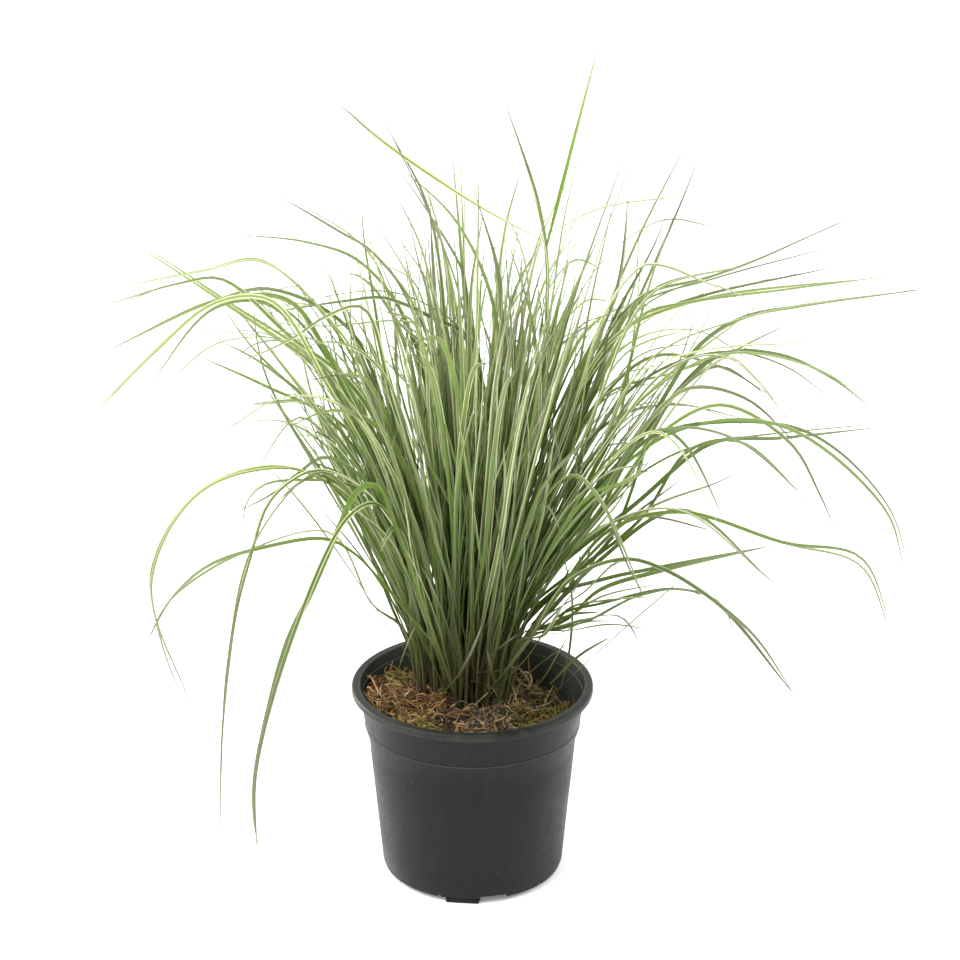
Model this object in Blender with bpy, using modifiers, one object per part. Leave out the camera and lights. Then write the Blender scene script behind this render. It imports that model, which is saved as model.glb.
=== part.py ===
"""A potted clump of variegated reed grass: a nursery pot, the soil in it, and fifty-one shoots.

Metres, +Z up. The origin is on the ground under the pot's axis. +X is the clump's right and -Y its front.
"""
from math import atan2, cos, radians, sin
from random import Random

import bmesh
import bpy
import numpy as np
from mathutils import Matrix, Vector

MM = 0.001

# Pot: a 19 cm, 3 litre nursery pot. Depths are measured down from the top of its rim.
POT_HEIGHT = 0.161
POT_STEPS = 44
RIM_RADIUS = 0.0961
RIM_OPENING = 0.0891
RIM_BAND = 0.0062
RIM_CORNERS = (130, 90, 45, 0, -50)
LIP_ROUND = 0.0008
COLLAR_TOP_RADIUS = 0.0900
COLLAR_STEP_DEPTH = 0.033
COLLAR_STEP_RADIUS = 0.0858
COLLAR_STEP = 0.0005
COLLAR_DEPTH = 0.052
COLLAR_BASE_RADIUS = 0.0820
WALL_BASE_RADIUS = 0.0725
WALL = 0.0014
FLOOR_THICKNESS = 0.002
FLOOR_HEIGHT = 0.0075
RING_HEIGHT = 0.003
RING_WIDTH = 0.006
RING_RADIUS = 0.0716

# Foot ring: each third has a drain with an arch over it and a foot beside the arch, lower than the ring.
# Narrow notches open the ring between them. The foot's offset is in degrees from the arch.
FOOT_OFFSET = -20.5
FOOT_SIZE = (0.0052, 0.027, 0.004)
ARCH_AZIMUTH = -76
ARCH_WIDTH = 0.022
ARCH_HEIGHT = 0.0066
NOTCH_AZIMUTHS = (-142, -112, -40, 8, 80, 128)
NOTCH_WIDTH = 0.0035
NOTCH_HEIGHT = 0.0058
DRAIN_WIDTH = 0.014
DRAIN_DEPTH = 0.010
DRAIN_SET_IN = 0.001
CUT_THROUGH_RING = 0.03
CUT_THROUGH_FLOOR = 0.012

# Soil: it fills the pot up to an uneven surface, and the clump's crown is level
GAP = 0.0003
FACET_GAP = 0.0006
CROWN_CENTRE = Vector((-0.007, 0.020, 0))
CROWN_RADII = (0.043, 0.037)
CROWN_HEIGHT = 0.143
ROOT_DEPTH = 0.004
ROOT_SPREAD = 0.84
SOIL_STEPS = 40
SOIL_LEVEL = 0.138
SOIL_TILT = 0.010
SOIL_HIGH_SIDE = 205
SOIL_LUMPS = ((5, 0.0022, 1), (9, 0.0016, 2))
SHOULDER_SHARE = 0.35
SHOULDER_FALL = 0.6

# Leaves. They fan out about an axis beside the crown's own, and the sheaths stand close together up to a waist:
# its height above the roots, and the share of the way out that a leaf has gone by then.
FAN_AXIS = Vector((0, 0.020, 0.005))
WAIST_RISE = 0.062
WAIST_SHARE = 0.42
LEAF_WIDTH = 0.0048
LEAF_KEEL = 0.0021
SHEATH_SWELL = 1.25
SHEATH_SHARE = 0.3
TAPER_START = 0.35
TAPER_POWER = 1.6
TIP_SHARE = 0.14
SLIMMER_BY = 0.045
START_STAGGER = 0.0009
LEAF_STRETCH = 0.080
TWIN_STRETCH = 0.125
TWIN_FORK = (0.16, 0.42)
TWIN_TURN = (13, 30)
TWIN_SHRINK = (0.6, 0.9)
TWIN_DROP = 0.020
TWIN_MARKS = 30
TWINS_PER_SHOOT = 1
TWIN_TRIES = 10
SEED = 11
LEAF_CLEARANCE = 0.0062
TIP_CLEARANCE_SHARE = 0.45
MARK_SPACING = 0.004
TURNS_TRIED = (0, 1.5, -1.5, 3, -3, 4.5, -4.5, 6, -6, 8, -8, 10, -10, 13, -13, 17, -17, 21, -21)

# Each shoot is its root's azimuth and distance from the crown's centre, then its leaves.
# Each leaf is the azimuth of its upright plane through the fan's axis, then the points it bends through,
# as distance out from the axis and height above the ground. Degrees and millimetres, 0 is +X and 90 is +Y.
OUTER_SHOOTS = (
    ((2, 43), (-2, (85, 330), (121, 382), (160, 387), (235, 360)),
     (-6, (110, 310), (150, 345), (187, 360), (319, 382))),
    ((-13, 44), (-12, (95, 285), (164, 308), (247, 289), (305, 276), (331, 221)),
     (-15, (90, 235), (124, 267), (192, 242), (261, 167))),
    ((-27, 43), (-25, (80, 215), (109, 247), (159, 273), (253, 312)),
     (-30, (110, 300), (181, 333), (260, 291))),
    ((-41, 41), (-32, (105, 225), (152, 258), (200, 272), (238, 236)),
     (-38, (130, 370), (190, 410), (248, 413), (311, 380)),
     (-42, (120, 350), (182, 409), (205, 402), (243, 352))),
    ((-56, 38), (-50, (85, 330), (120, 362), (149, 351), (198, 290)),
     (-60, (80, 330), (120, 430), (160, 520))),
    ((-71, 36), (-68, (70, 330), (112, 440), (150, 535)),
     (-74, (75, 300), (118, 400), (165, 480))),
    ((-87, 36), (-88, (62, 340), (105, 455), (170, 540), (291, 578)),
     (-82, (70, 290), (112, 380), (165, 455), (235, 500))),
    ((-103, 36), (-104, (68, 330), (110, 430), (165, 505), (250, 545)),
     (-98, (60, 330), (88, 430), (118, 520))),
    ((-118, 37), (-120, (72, 320), (118, 420), (170, 500)),
     (-114, (68, 300), (105, 390), (150, 470))),
    ((-132, 39), (-130, (85, 300), (115, 338), (148, 334), (207, 261), (250, 166), (252, 98)),
     (-136, (80, 320), (125, 410), (190, 440), (260, 425))),
    ((-147, 42), (-142, (105, 320), (147, 364), (205, 323), (232, 237), (246, 88)),
     (-148, (100, 320), (158, 364), (238, 362), (280, 301), (248, 179))),
    ((-159, 43), (-155, (112, 360), (145, 397), (187, 349)),
     (-160, (95, 285), (162, 414))),
    ((-171, 44), (-168, (110, 360), (133, 404), (187, 440)),
     (-171, (80, 220), (113, 284), (184, 270), (238, 236), (258, 202))),
    ((178, 44), (-172, (99, 337), (117, 388), (176, 393)), (-177, (98, 340), (121, 385), (178, 462))),
    ((166, 43), (176, (95, 370), (133, 426), (168, 440), (220, 438)),
     (162, (90, 300), (150, 350), (220, 340))),
    ((150, 42), (148, (95, 330), (160, 400), (240, 390), (300, 340)),
     (140, (85, 300), (140, 350), (200, 345))),
    ((133, 39), (130, (85, 330), (140, 410), (210, 425), (290, 395)),
     (137, (80, 310), (120, 390), (165, 410))),
    ((116, 37), (118, (80, 330), (130, 410), (200, 430), (270, 400)),
     (112, (75, 290), (120, 350), (170, 355))),
    ((100, 36), (98, (70, 340), (120, 430), (190, 460), (252, 452)),
     (104, (70, 300), (110, 380), (150, 400))),
    ((84, 36), (82, (75, 330), (125, 400), (185, 405), (250, 360)),
     (88, (65, 320), (100, 430), (130, 490))),
    ((68, 37), (66, (80, 340), (130, 420), (200, 440), (270, 412)),
     (72, (75, 300), (120, 370), (165, 375))),
    ((52, 39), (50, (85, 330), (140, 405), (210, 410), (280, 370)),
     (56, (80, 320), (120, 410), (160, 430))),
    ((36, 41), (36, (90, 330), (150, 400), (220, 400), (290, 355)),
     (30, (80, 310), (130, 380), (180, 385))),
    ((19, 43), (21, (95, 310), (150, 360), (220, 350)),
     (14, (85, 320), (130, 410), (190, 420))),
)
MIDDLE_SHOOTS = (
    ((-5, 29), (-5, (75, 380), (112, 445), (174, 475), (318, 498)),
     (-9, (120, 400), (190, 438), (237, 431), (280, 403))),
    ((-27, 28), (-22, (100, 350), (144, 440), (216, 483), (349, 523)),
     (-24, (115, 340), (178, 393), (256, 405), (335, 352), (352, 306)),
     (-17, (120, 385), (196, 446), (270, 442), (315, 416))),
    ((-50, 26), (-30, (100, 380), (153, 500), (225, 534)),
     (-28, (120, 380), (170, 445), (214, 459), (268, 416)),
     (-52, (80, 380), (125, 480), (180, 510))),
    ((-75, 25), (-72, (60, 360), (95, 470), (140, 530)), (-80, (60, 330), (100, 440), (160, 520))),
    ((-100, 25), (-97, (55, 380), (80, 500), (110, 560)), (-105, (60, 350), (105, 450), (160, 490))),
    ((-125, 26), (-128, (65, 350), (115, 450), (175, 485), (230, 480)),
     (-120, (55, 370), (85, 480), (120, 530))),
    ((-150, 28), (-150, (75, 360), (120, 450), (180, 480)), (-142, (70, 340), (110, 430), (160, 440))),
    ((-174, 29), (-164, (90, 380), (150, 478), (200, 482), (255, 422)),
     (180, (95, 372), (118, 412), (158, 478))),
    ((165, 29), (172, (60, 330), (95, 440), (157, 471), (197, 461), (286, 415)),
     (168, (90, 350), (143, 428), (198, 472), (301, 440))),
    ((148, 28), (153, (80, 290), (122, 388), (217, 441), (296, 479)),
     (160, (75, 320), (110, 400), (171, 456), (220, 440), (341, 321))),
    ((125, 26), (149, (75, 330), (120, 415), (193, 468), (253, 450), (358, 414)),
     (138, (75, 400), (105, 480), (205, 513))),
    ((100, 25), (105, (55, 380), (90, 480), (150, 520)), (94, (60, 350), (110, 450), (175, 470))),
    ((70, 25), (75, (55, 380), (95, 490), (150, 530)), (61, (65, 350), (120, 450), (190, 480))),
    ((42, 27), (42, (70, 360), (125, 460), (200, 490), (270, 470)),
     (24, (90, 390), (140, 445), (207, 458), (319, 471))),
    ((18, 28), (8, (85, 370), (131, 456), (209, 487), (292, 521)),
     (26, (80, 340), (110, 400), (142, 455), (147, 507)),
     (4, (90, 370), (140, 420), (193, 410), (238, 382))),
)
INNER_SHOOTS = (
    ((10, 17), (10, (34, 290), (50, 375), (59, 474), (52, 540), (26, 622))),
    ((-30, 15), (-12, (45, 300), (75, 380), (112, 488), (120, 565)),
     (-18, (40, 330), (75, 470), (100, 530))),
    ((-75, 14), (-85, (25, 350), (45, 480), (60, 590)),
     (-68, (35, 340), (65, 470), (110, 520))),
    ((-120, 14), (-130, (35, 360), (65, 490), (110, 560)),
     (-112, (30, 350), (50, 450), (85, 520))),
    ((-165, 15), (178, (75, 388), (92, 437), (113, 500)),
     (174, (24, 360), (28, 470), (33, 548))),
    ((150, 15), (150, (20, 330), (37, 532), (76, 598)), (160, (22, 415), (60, 448), (90, 490)),
     (168, (25, 350), (33, 445), (48, 485), (68, 497), (97, 478))),
    ((110, 14), (98, (30, 380), (50, 500), (70, 570)),
     (118, (40, 360), (80, 480), (130, 520))),
    ((70, 14), (45, (40, 370), (75, 500), (120, 560)),
     (62, (35, 350), (60, 470), (90, 540))),
    ((38, 16), (18, (35, 320), (60, 400), (92, 490), (125, 580)),
     (15, (50, 330), (95, 420), (140, 520), (172, 580))),
)
CENTRE_SHOOTS = (
    ((180, 4), (180, (4, 400), (1, 478), (-8, 538)),
     (175, (3, 300), (6, 440), (26, 461), (66, 478), (160, 466))),
    ((-60, 6), (5, (20, 300), (24, 445), (20, 494), (1, 559)),
     (-40, (20, 330), (45, 470), (75, 560))),
    ((90, 7), (165, (-16, 320), (-16, 468), (13, 532), (62, 579)),
     (104, (12, 400), (34, 492), (64, 570))),
)
SHOOTS = OUTER_SHOOTS + MIDDLE_SHOOTS + INNER_SHOOTS + CENTRE_SHOOTS

# The tall culm, the first of the inner shoots, carries three more blades well above the ground.
# Each is the share of the culm's length where it leaves, its azimuth, then its points out and up
# from there.
TALL_CULM = len(OUTER_SHOOTS) + len(MIDDLE_SHOOTS)
CULM_BLADES = (
    (0.783, 16, (45, 18), (112, 22)),
    (0.767, 172, (52, 27), (124, 74), (157, 102)),
    (0.75, 6, (19, 78), (38, 158)),
)


def clear_scene():
    """Remove whatever the file holds."""
    for old in list(bpy.data.objects):
        bpy.data.objects.remove(old)


def collection(name):
    """A new collection under the scene's own."""
    made = bpy.data.collections.new(name)
    bpy.context.scene.collection.children.link(made)
    return made


def material(name, colour, roughness):
    """A plain finish."""
    made = bpy.data.materials.new(name)
    made.use_nodes = True
    shader = made.node_tree.nodes["Principled BSDF"]
    shader.inputs["Base Color"].default_value = (*colour, 1)
    shader.inputs["Roughness"].default_value = roughness
    shader.inputs["Metallic"].default_value = 0
    return made


def add_object(name, mesh, finish, home):
    """An object of its own for a finished mesh."""
    made = bpy.data.objects.new(name, mesh)
    home.objects.link(made)
    if finish:
        made.data.materials.append(finish)
    return made


def polar(azimuth, out, height=0.0):
    """A point at an azimuth in degrees and a distance from the world's Z axis."""
    return Vector((out * cos(radians(azimuth)), out * sin(radians(azimuth)), height))


def wall_radius(height):
    """The pot wall's outer radius at a height: a flared collar over a steeper wall."""
    depth = POT_HEIGHT - height
    if depth < COLLAR_DEPTH:
        share = depth / COLLAR_DEPTH
        return COLLAR_TOP_RADIUS + (COLLAR_BASE_RADIUS - COLLAR_TOP_RADIUS) * share
    share = (depth - COLLAR_DEPTH) / (POT_HEIGHT - FLOOR_HEIGHT - COLLAR_DEPTH)
    return COLLAR_BASE_RADIUS + (WALL_BASE_RADIUS - COLLAR_BASE_RADIUS) * share


def pot_profile():
    """The pot's half section: from the floor's middle up the inside, over the rim and down the outside."""
    floor_top = FLOOR_HEIGHT + FLOOR_THICKNESS
    rim_bottom = POT_HEIGHT - RIM_BAND
    collar_base = POT_HEIGHT - COLLAR_DEPTH
    step = POT_HEIGHT - COLLAR_STEP_DEPTH
    bead = RIM_BAND / 2
    inside = [
        (0, floor_top),
        (wall_radius(floor_top) - WALL, floor_top),
        (wall_radius(collar_base) - WALL, collar_base),
        (RIM_OPENING - WALL, rim_bottom),
        (RIM_OPENING, POT_HEIGHT - LIP_ROUND),
    ]
    turn = [radians(a) for a in RIM_CORNERS]
    rim = [(RIM_RADIUS - bead + bead * cos(a), POT_HEIGHT - bead + bead * sin(a)) for a in turn]
    outside = [
        (COLLAR_TOP_RADIUS, rim_bottom),
        (COLLAR_STEP_RADIUS, step),
        (COLLAR_STEP_RADIUS - COLLAR_STEP, step - COLLAR_STEP),
        (COLLAR_BASE_RADIUS, collar_base),
        (WALL_BASE_RADIUS, FLOOR_HEIGHT),
        (RING_RADIUS, RING_HEIGHT),
        (RING_RADIUS - RING_WIDTH, RING_HEIGHT),
        (RING_RADIUS - RING_WIDTH, FLOOR_HEIGHT),
        (0, FLOOR_HEIGHT),
    ]
    return inside + rim + outside


def turned(name, profile, steps, finish, home):
    """A solid turned about Z from a half section in the XZ plane."""
    shape = bmesh.new()
    corners = [shape.verts.new((r, 0, z)) for r, z in profile]
    for a, b in zip(corners, corners[1:]):
        shape.edges.new((a, b))
    mesh = bpy.data.meshes.new(name)
    shape.to_mesh(mesh)
    shape.free()
    made = add_object(name, mesh, finish, home)
    screw = made.modifiers.new("turn", "SCREW")
    screw.axis = "Z"
    screw.steps = screw.render_steps = steps
    screw.use_merge_vertices = True
    screw.merge_threshold = 0.00005
    screw.use_normal_calculate = True
    return made


def block(shape, size, azimuth, out, height):
    """Add a box to a bmesh: size is radial, sideways and upright, its middle at a polar place."""
    box = bmesh.ops.create_cube(shape, size=1)["verts"]
    place = Matrix.Translation(polar(azimuth, out, height)) @ Matrix.Rotation(radians(azimuth), 4, "Z")
    bmesh.ops.transform(shape, matrix=place @ Matrix.Diagonal((*size, 1)), verts=box)


def block_tool(name, blocks, home):
    """A hidden solid of separate boxes, for a Boolean."""
    shape = bmesh.new()
    for size, azimuth, out, height in blocks:
        block(shape, size, azimuth, out, height)
    mesh = bpy.data.meshes.new(name)
    shape.to_mesh(mesh)
    shape.free()
    made = add_object(name, mesh, None, home)
    made.hide_render = True
    made.display_type = "WIRE"
    return made


def combine(target, operation, tool):
    """Join a hidden solid to a part, or take it away."""
    step = target.modifiers.new(tool.name, "BOOLEAN")
    step.operation = operation
    step.solver = "EXACT"
    step.object = tool


def make_pot(finish, home, cutters):
    """The pot, with its feet, its foot ring opened by arches and notches, and its floor by drains."""
    pot = turned("pot", pot_profile(), POT_STEPS, finish, home)
    ring_middle = RING_RADIUS - RING_WIDTH / 2
    arch_size = (CUT_THROUGH_RING, ARCH_WIDTH, 2 * ARCH_HEIGHT)
    notch_size = (CUT_THROUGH_RING, NOTCH_WIDTH, 2 * NOTCH_HEIGHT)
    drain_size = (DRAIN_DEPTH, DRAIN_WIDTH, CUT_THROUGH_FLOOR)
    drain_out = RING_RADIUS - RING_WIDTH - DRAIN_DEPTH / 2 - DRAIN_SET_IN
    thirds = [ARCH_AZIMUTH + 120 * k for k in range(3)]
    arches = [(arch_size, azimuth, ring_middle, 0) for azimuth in thirds]
    notches = [(notch_size, azimuth, ring_middle, 0) for azimuth in NOTCH_AZIMUTHS]
    drains = [(drain_size, azimuth, drain_out, FLOOR_HEIGHT) for azimuth in thirds]
    feet = [(FOOT_SIZE, azimuth + FOOT_OFFSET, ring_middle, FOOT_SIZE[2] / 2) for azimuth in thirds]
    combine(pot, "DIFFERENCE", block_tool("foot_gaps", arches + notches, cutters))
    combine(pot, "DIFFERENCE", block_tool("drain_holes", drains, cutters))
    combine(pot, "UNION", block_tool("feet", feet, cutters))
    return pot


def soil_height(point):
    """The soil's surface away from the crown: higher at the left front, low at the right back."""
    azimuth = atan2(point.y, point.x)
    tilt = SOIL_TILT * cos(azimuth - radians(SOIL_HIGH_SIDE))
    lumps = sum(height * sin(waves * azimuth + start) for waves, height, start in SOIL_LUMPS)
    return SOIL_LEVEL + tilt + lumps


def make_soil(finish, home):
    """Soil from the pot's floor up: a level crown inside an uneven ring, on sides that follow the wall."""
    floor_top = FLOOR_HEIGHT + FLOOR_THICKNESS + GAP
    collar_base = POT_HEIGHT - COLLAR_DEPTH
    shape = bmesh.new()
    start = bmesh.ops.create_circle(shape, cap_ends=True, segments=SOIL_STEPS, radius=1)["verts"]
    angles = [vert.co.copy() for vert in start]
    for vert, unit in zip(start, angles):
        vert.co = Vector((unit.x * CROWN_RADII[0], unit.y * CROWN_RADII[1], CROWN_HEIGHT)) + CROWN_CENTRE

    def ring_point(unit, ring):
        edge_height = soil_height(unit)
        edge = unit * (wall_radius(edge_height) - WALL - FACET_GAP)
        crown = Vector((unit.x * CROWN_RADII[0], unit.y * CROWN_RADII[1], 0)) + CROWN_CENTRE
        if ring < 2:
            place = crown.lerp(edge, (SHOULDER_SHARE, 1)[ring])
            place.z = CROWN_HEIGHT + (edge_height - CROWN_HEIGHT) * (SHOULDER_FALL, 1)[ring]
            return place
        height = (collar_base, floor_top)[ring - 2]
        side = unit * (wall_radius(height) - WALL - FACET_GAP)
        side.z = height
        return side

    rim = list(start)
    for ring in range(4):
        edges = [edge for edge in shape.edges if edge.verts[0] in rim and edge.verts[1] in rim]
        grown = bmesh.ops.extrude_edge_only(shape, edges=edges)["geom"]
        new = [item for item in grown if isinstance(item, bmesh.types.BMVert)]
        ordered = []
        for old in rim:
            ordered.append(next(v for v in new if (v.co - old.co).length < 1e-9))
        for vert, unit in zip(ordered, angles):
            vert.co = ring_point(unit, ring)
        rim = ordered
    bmesh.ops.contextual_create(shape, geom=rim)
    bmesh.ops.recalc_face_normals(shape, faces=shape.faces)
    mesh = bpy.data.meshes.new("soil")
    shape.to_mesh(mesh)
    shape.free()
    return add_object("soil", mesh, finish, home)


def on_crown(azimuth, out):
    """A root's place just under the level crown, from its azimuth and its distance in millimetres."""
    return CROWN_CENTRE + polar(azimuth, out * ROOT_SPREAD * MM, CROWN_HEIGHT - ROOT_DEPTH)


def smooth_curve(points, samples=24):
    """A curve through all the points, as a Catmull-Rom spline with samples on each span."""
    pts = [np.array(p) for p in points]
    pts = [2 * pts[0] - pts[1]] + pts + [2 * pts[-1] - pts[-2]]
    knots = [0.0]
    for a, b in zip(pts, pts[1:]):
        knots.append(knots[-1] + np.linalg.norm(b - a) ** 0.5)
    line = []
    for k in range(1, len(pts) - 2):
        t0, t1, t2, t3 = knots[k - 1:k + 3]
        p0, p1, p2, p3 = pts[k - 1:k + 3]
        for t in np.linspace(t1, t2, samples, endpoint=False):
            a1 = (t1 - t) / (t1 - t0) * p0 + (t - t0) / (t1 - t0) * p1
            a2 = (t2 - t) / (t2 - t1) * p1 + (t - t1) / (t2 - t1) * p2
            a3 = (t3 - t) / (t3 - t2) * p2 + (t - t2) / (t3 - t2) * p3
            b1 = (t2 - t) / (t2 - t0) * a1 + (t - t0) / (t2 - t0) * a2
            b2 = (t3 - t) / (t3 - t1) * a2 + (t - t1) / (t3 - t1) * a3
            line.append((t2 - t) / (t2 - t1) * b1 + (t - t1) / (t2 - t1) * b2)
    line.append(pts[-2])
    return np.array(line)


def evenly(line, count):
    """The same line as count points an equal length apart."""
    steps = np.linalg.norm(np.diff(line, axis=0), axis=1)
    along = np.concatenate([[0], np.cumsum(steps)])
    marks = np.linspace(0, along[-1], count)
    return np.column_stack([np.interp(marks, along, line[:, axis]) for axis in range(3)])


def length_of(line):
    """A line's length."""
    return float(np.linalg.norm(np.diff(line, axis=0), axis=1).sum())


def bend_count(line, stretch):
    """How many bends a solid leaf has, its ends among them, for a given length between them."""
    return max(4, round(length_of(line) / stretch) + 1)


def leaf_line(root, leaf, turn=0.0):
    """A leaf's middle line from its root past the waist, its plane turned by some degrees about the fan's axis."""
    azimuth, *bends = leaf
    points = [FAN_AXIS + polar(azimuth + turn, out * MM, up * MM) for out, up in bends]
    waist = root.lerp(points[0], WAIST_SHARE * WAIST_RISE / (points[0].z - root.z))
    waist.z = root.z + WAIST_RISE
    return smooth_curve([tuple(point) for point in [root, waist, *points]])


def blade_line(culm, blade, turn=0.0):
    """The middle line of a blade that leaves a culm above the ground."""
    share, azimuth, *bends = blade
    fork = Vector(culm[int(share * (len(culm) - 1))])
    points = [tuple(fork)]
    points += [tuple(fork + polar(azimuth + turn, out * MM, up * MM)) for out, up in bends]
    return smooth_curve(points)


def drop_mark(line):
    """The point of a line from which it has dropped a little below its highest point, or its end."""
    top = int(line[:, 2].argmax())
    fallen = np.flatnonzero(line[top:, 2] < line[top, 2] - TWIN_DROP)
    return top + int(fallen[0]) if len(fallen) else len(line)


def twin_line(line, chance):
    """A smaller copy of a leaf from one of its bends some way up, turned to one side there.

    It ends where the leaf has dropped a little below its highest point.
    """
    bends = evenly(line, bend_count(line, LEAF_STRETCH))
    bend = bends[max(1, round(chance.uniform(*TWIN_FORK) * (len(bends) - 1)))]
    fork = int(np.linalg.norm(line - bend, axis=1).argmin())
    turn = radians(chance.uniform(*TWIN_TURN) * chance.choice((-1, 1)))
    shrink = chance.uniform(*TWIN_SHRINK)
    rest = (line[fork:max(drop_mark(line), fork + TWIN_MARKS)] - line[fork]) * shrink
    spun = np.column_stack([
        rest[:, 0] * cos(turn) - rest[:, 1] * sin(turn),
        rest[:, 0] * sin(turn) + rest[:, 1] * cos(turn),
        rest[:, 2],
    ])
    return bend + spun


def reach_share(marks):
    """How far along its leaf each of the marks is, from 0 to 1."""
    return np.linspace(0, 1, len(marks))


def clear_of(marks, others):
    """Whether a leaf keeps clear of all the others. Leaves need less room towards their tips."""
    if not len(others):
        return True
    room = LEAF_CLEARANCE * (1 - (1 - TIP_CLEARANCE_SHARE) * reach_share(marks))
    placed = np.concatenate(others)
    for mark, need in zip(marks, room):
        if (np.abs(placed - mark).max(axis=1) < need).any():
            gaps = np.linalg.norm(placed - mark, axis=1)
            if gaps.min() < need:
                return False
    return True


def settle_leaves():
    """The lines of each shoot's leaves.

    Every leaf is turned about the crown until it clears the other shoots. Then each shoot gets a smaller twin
    of one of its leaves, wherever there is room for it.
    """
    shoots = [{"root": on_crown(*place), "lines": [], "marks": []} for place, *leaves in SHOOTS]

    def place(shoot, lines):
        around = [marks for other in shoots if other is not shoot for marks in other["marks"]]
        stretch = TWIN_STRETCH if shoot["lines"] else LEAF_STRETCH
        for line in lines:
            solid = evenly(line, bend_count(line, stretch))
            marks = evenly(solid, max(8, int(length_of(line) / MARK_SPACING)))
            if clear_of(marks, around):
                shoot["lines"].append(line)
                shoot["marks"].append(marks)
                return

    for shoot, (root_place, *leaves) in zip(shoots, SHOOTS):
        for leaf in leaves:
            place(shoot, (leaf_line(shoot["root"], leaf, turn) for turn in TURNS_TRIED))
    tall = shoots[TALL_CULM]
    culm = tall["lines"][0]
    for blade in CULM_BLADES:
        place(tall, (blade_line(culm, blade, turn) for turn in TURNS_TRIED))
    chance = Random(SEED)
    for shoot in shoots:
        for line in shoot["lines"][:TWINS_PER_SHOOT]:
            place(shoot, (twin_line(line, chance) for attempt in range(TWIN_TRIES)))
    return shoots


def leaf_section(home):
    """The leaves' cross section: a shallow V, wide across and keeled below."""
    curve = bpy.data.curves.new("leaf_section", "CURVE")
    curve.dimensions = "2D"
    curve.fill_mode = "NONE"
    corners = ((0, -LEAF_WIDTH / 2), (LEAF_KEEL, 0), (0, LEAF_WIDTH / 2))
    spline = curve.splines.new("POLY")
    spline.points.add(len(corners) - 1)
    for point, (x, y) in zip(spline.points, corners):
        point.co = (x, y, 0, 1)
    spline.use_cyclic_u = True
    guide = bpy.data.objects.new("leaf_section", curve)
    guide.hide_render = True
    guide.display_type = "WIRE"
    home.objects.link(guide)
    return guide


def leaf_mesh(line, stretch, place_in_shoot, section):
    """One leaf as a closed mesh in world space, from a curve with the leaf's section along it.

    Each leaf of a shoot is a little slimmer and starts a little further back than the one before, so that no
    two faces coincide where they part.
    """
    girth = 1 - SLIMMER_BY * place_in_shoot
    points = evenly(line, bend_count(line, stretch))
    ahead = points[1] - points[0]
    points[0] -= ahead / np.linalg.norm(ahead) * START_STAGGER * place_in_shoot
    start = Vector(points[0])
    heading = Vector(points[-1]) - start
    outward = Vector((heading.x, heading.y, 0)).normalized()
    upward = Vector((0, 0, 1))
    across = outward.cross(upward)
    frame = Matrix((outward, upward, across)).transposed().to_4x4()
    place = Matrix.Translation(start) @ frame
    back = place.inverted()
    curve = bpy.data.curves.new("leaf", "CURVE")
    curve.dimensions = "3D"
    curve.twist_mode = "Z_UP"
    curve.bevel_mode = "OBJECT"
    curve.bevel_object = section
    curve.use_fill_caps = True
    spline = curve.splines.new("POLY")
    spline.points.add(len(points) - 1)
    for point, co, share in zip(spline.points, points, reach_share(points)):
        point.co = (*(back @ Vector(co)), 1)
        swell = 1 + (SHEATH_SWELL - 1) * max(0, 1 - share / SHEATH_SHARE)
        tip_share = max(0, (share - TAPER_START) / (1 - TAPER_START))
        point.radius = girth * swell * (1 - (1 - TIP_SHARE) * tip_share ** TAPER_POWER)
    made = bpy.data.objects.new("leaf", curve)
    made.matrix_world = place
    bpy.context.scene.collection.objects.link(made)
    bpy.context.view_layer.update()
    mesh = bpy.data.meshes.new_from_object(made.evaluated_get(bpy.context.evaluated_depsgraph_get()))
    mesh.transform(place)
    bpy.data.objects.remove(made)
    bpy.data.curves.remove(curve)
    shape = bmesh.new()
    shape.from_mesh(mesh)
    bmesh.ops.remove_doubles(shape, verts=shape.verts, dist=0.00002)
    bmesh.ops.recalc_face_normals(shape, faces=shape.faces)
    shape.to_mesh(mesh)
    shape.free()
    return mesh


def trim_root(mesh):
    """Cut a shoot off level, just above the crown that it stands on."""
    shape = bmesh.new()
    shape.from_mesh(mesh)
    level = (0, 0, CROWN_HEIGHT + GAP)
    everything = shape.verts[:] + shape.edges[:] + shape.faces[:]
    trimmed = bmesh.ops.bisect_plane(
        shape, geom=everything, plane_co=level, plane_no=(0, 0, -1), clear_outer=True
    )
    rim = [item for item in trimmed["geom_cut"] if isinstance(item, bmesh.types.BMEdge)]
    bmesh.ops.holes_fill(shape, edges=rim, sides=0)
    bmesh.ops.recalc_face_normals(shape, faces=shape.faces)
    shape.to_mesh(mesh)
    shape.free()


def make_shoot(name, lines, section, finish, home):
    """One shoot: its leaves joined into one solid, which starts level with the crown."""
    stretches = [LEAF_STRETCH] + [TWIN_STRETCH] * (len(lines) - 1)
    first, *rest = [leaf_mesh(line, stretch, k, section)
                    for k, (line, stretch) in enumerate(zip(lines, stretches))]
    shoot = add_object(name, first, finish, home)
    for mesh in rest:
        other = add_object("joined leaf", mesh, None, bpy.context.scene.collection)
        union = shoot.modifiers.new("join", "BOOLEAN")
        union.operation = "UNION"
        union.solver = "EXACT"
        union.object = other
        bpy.context.view_layer.update()
        joined = bpy.data.meshes.new_from_object(shoot.evaluated_get(bpy.context.evaluated_depsgraph_get()))
        shoot.modifiers.clear()
        shoot.data = joined
        bpy.data.objects.remove(other)
    trim_root(shoot.data)
    return shoot


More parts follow.
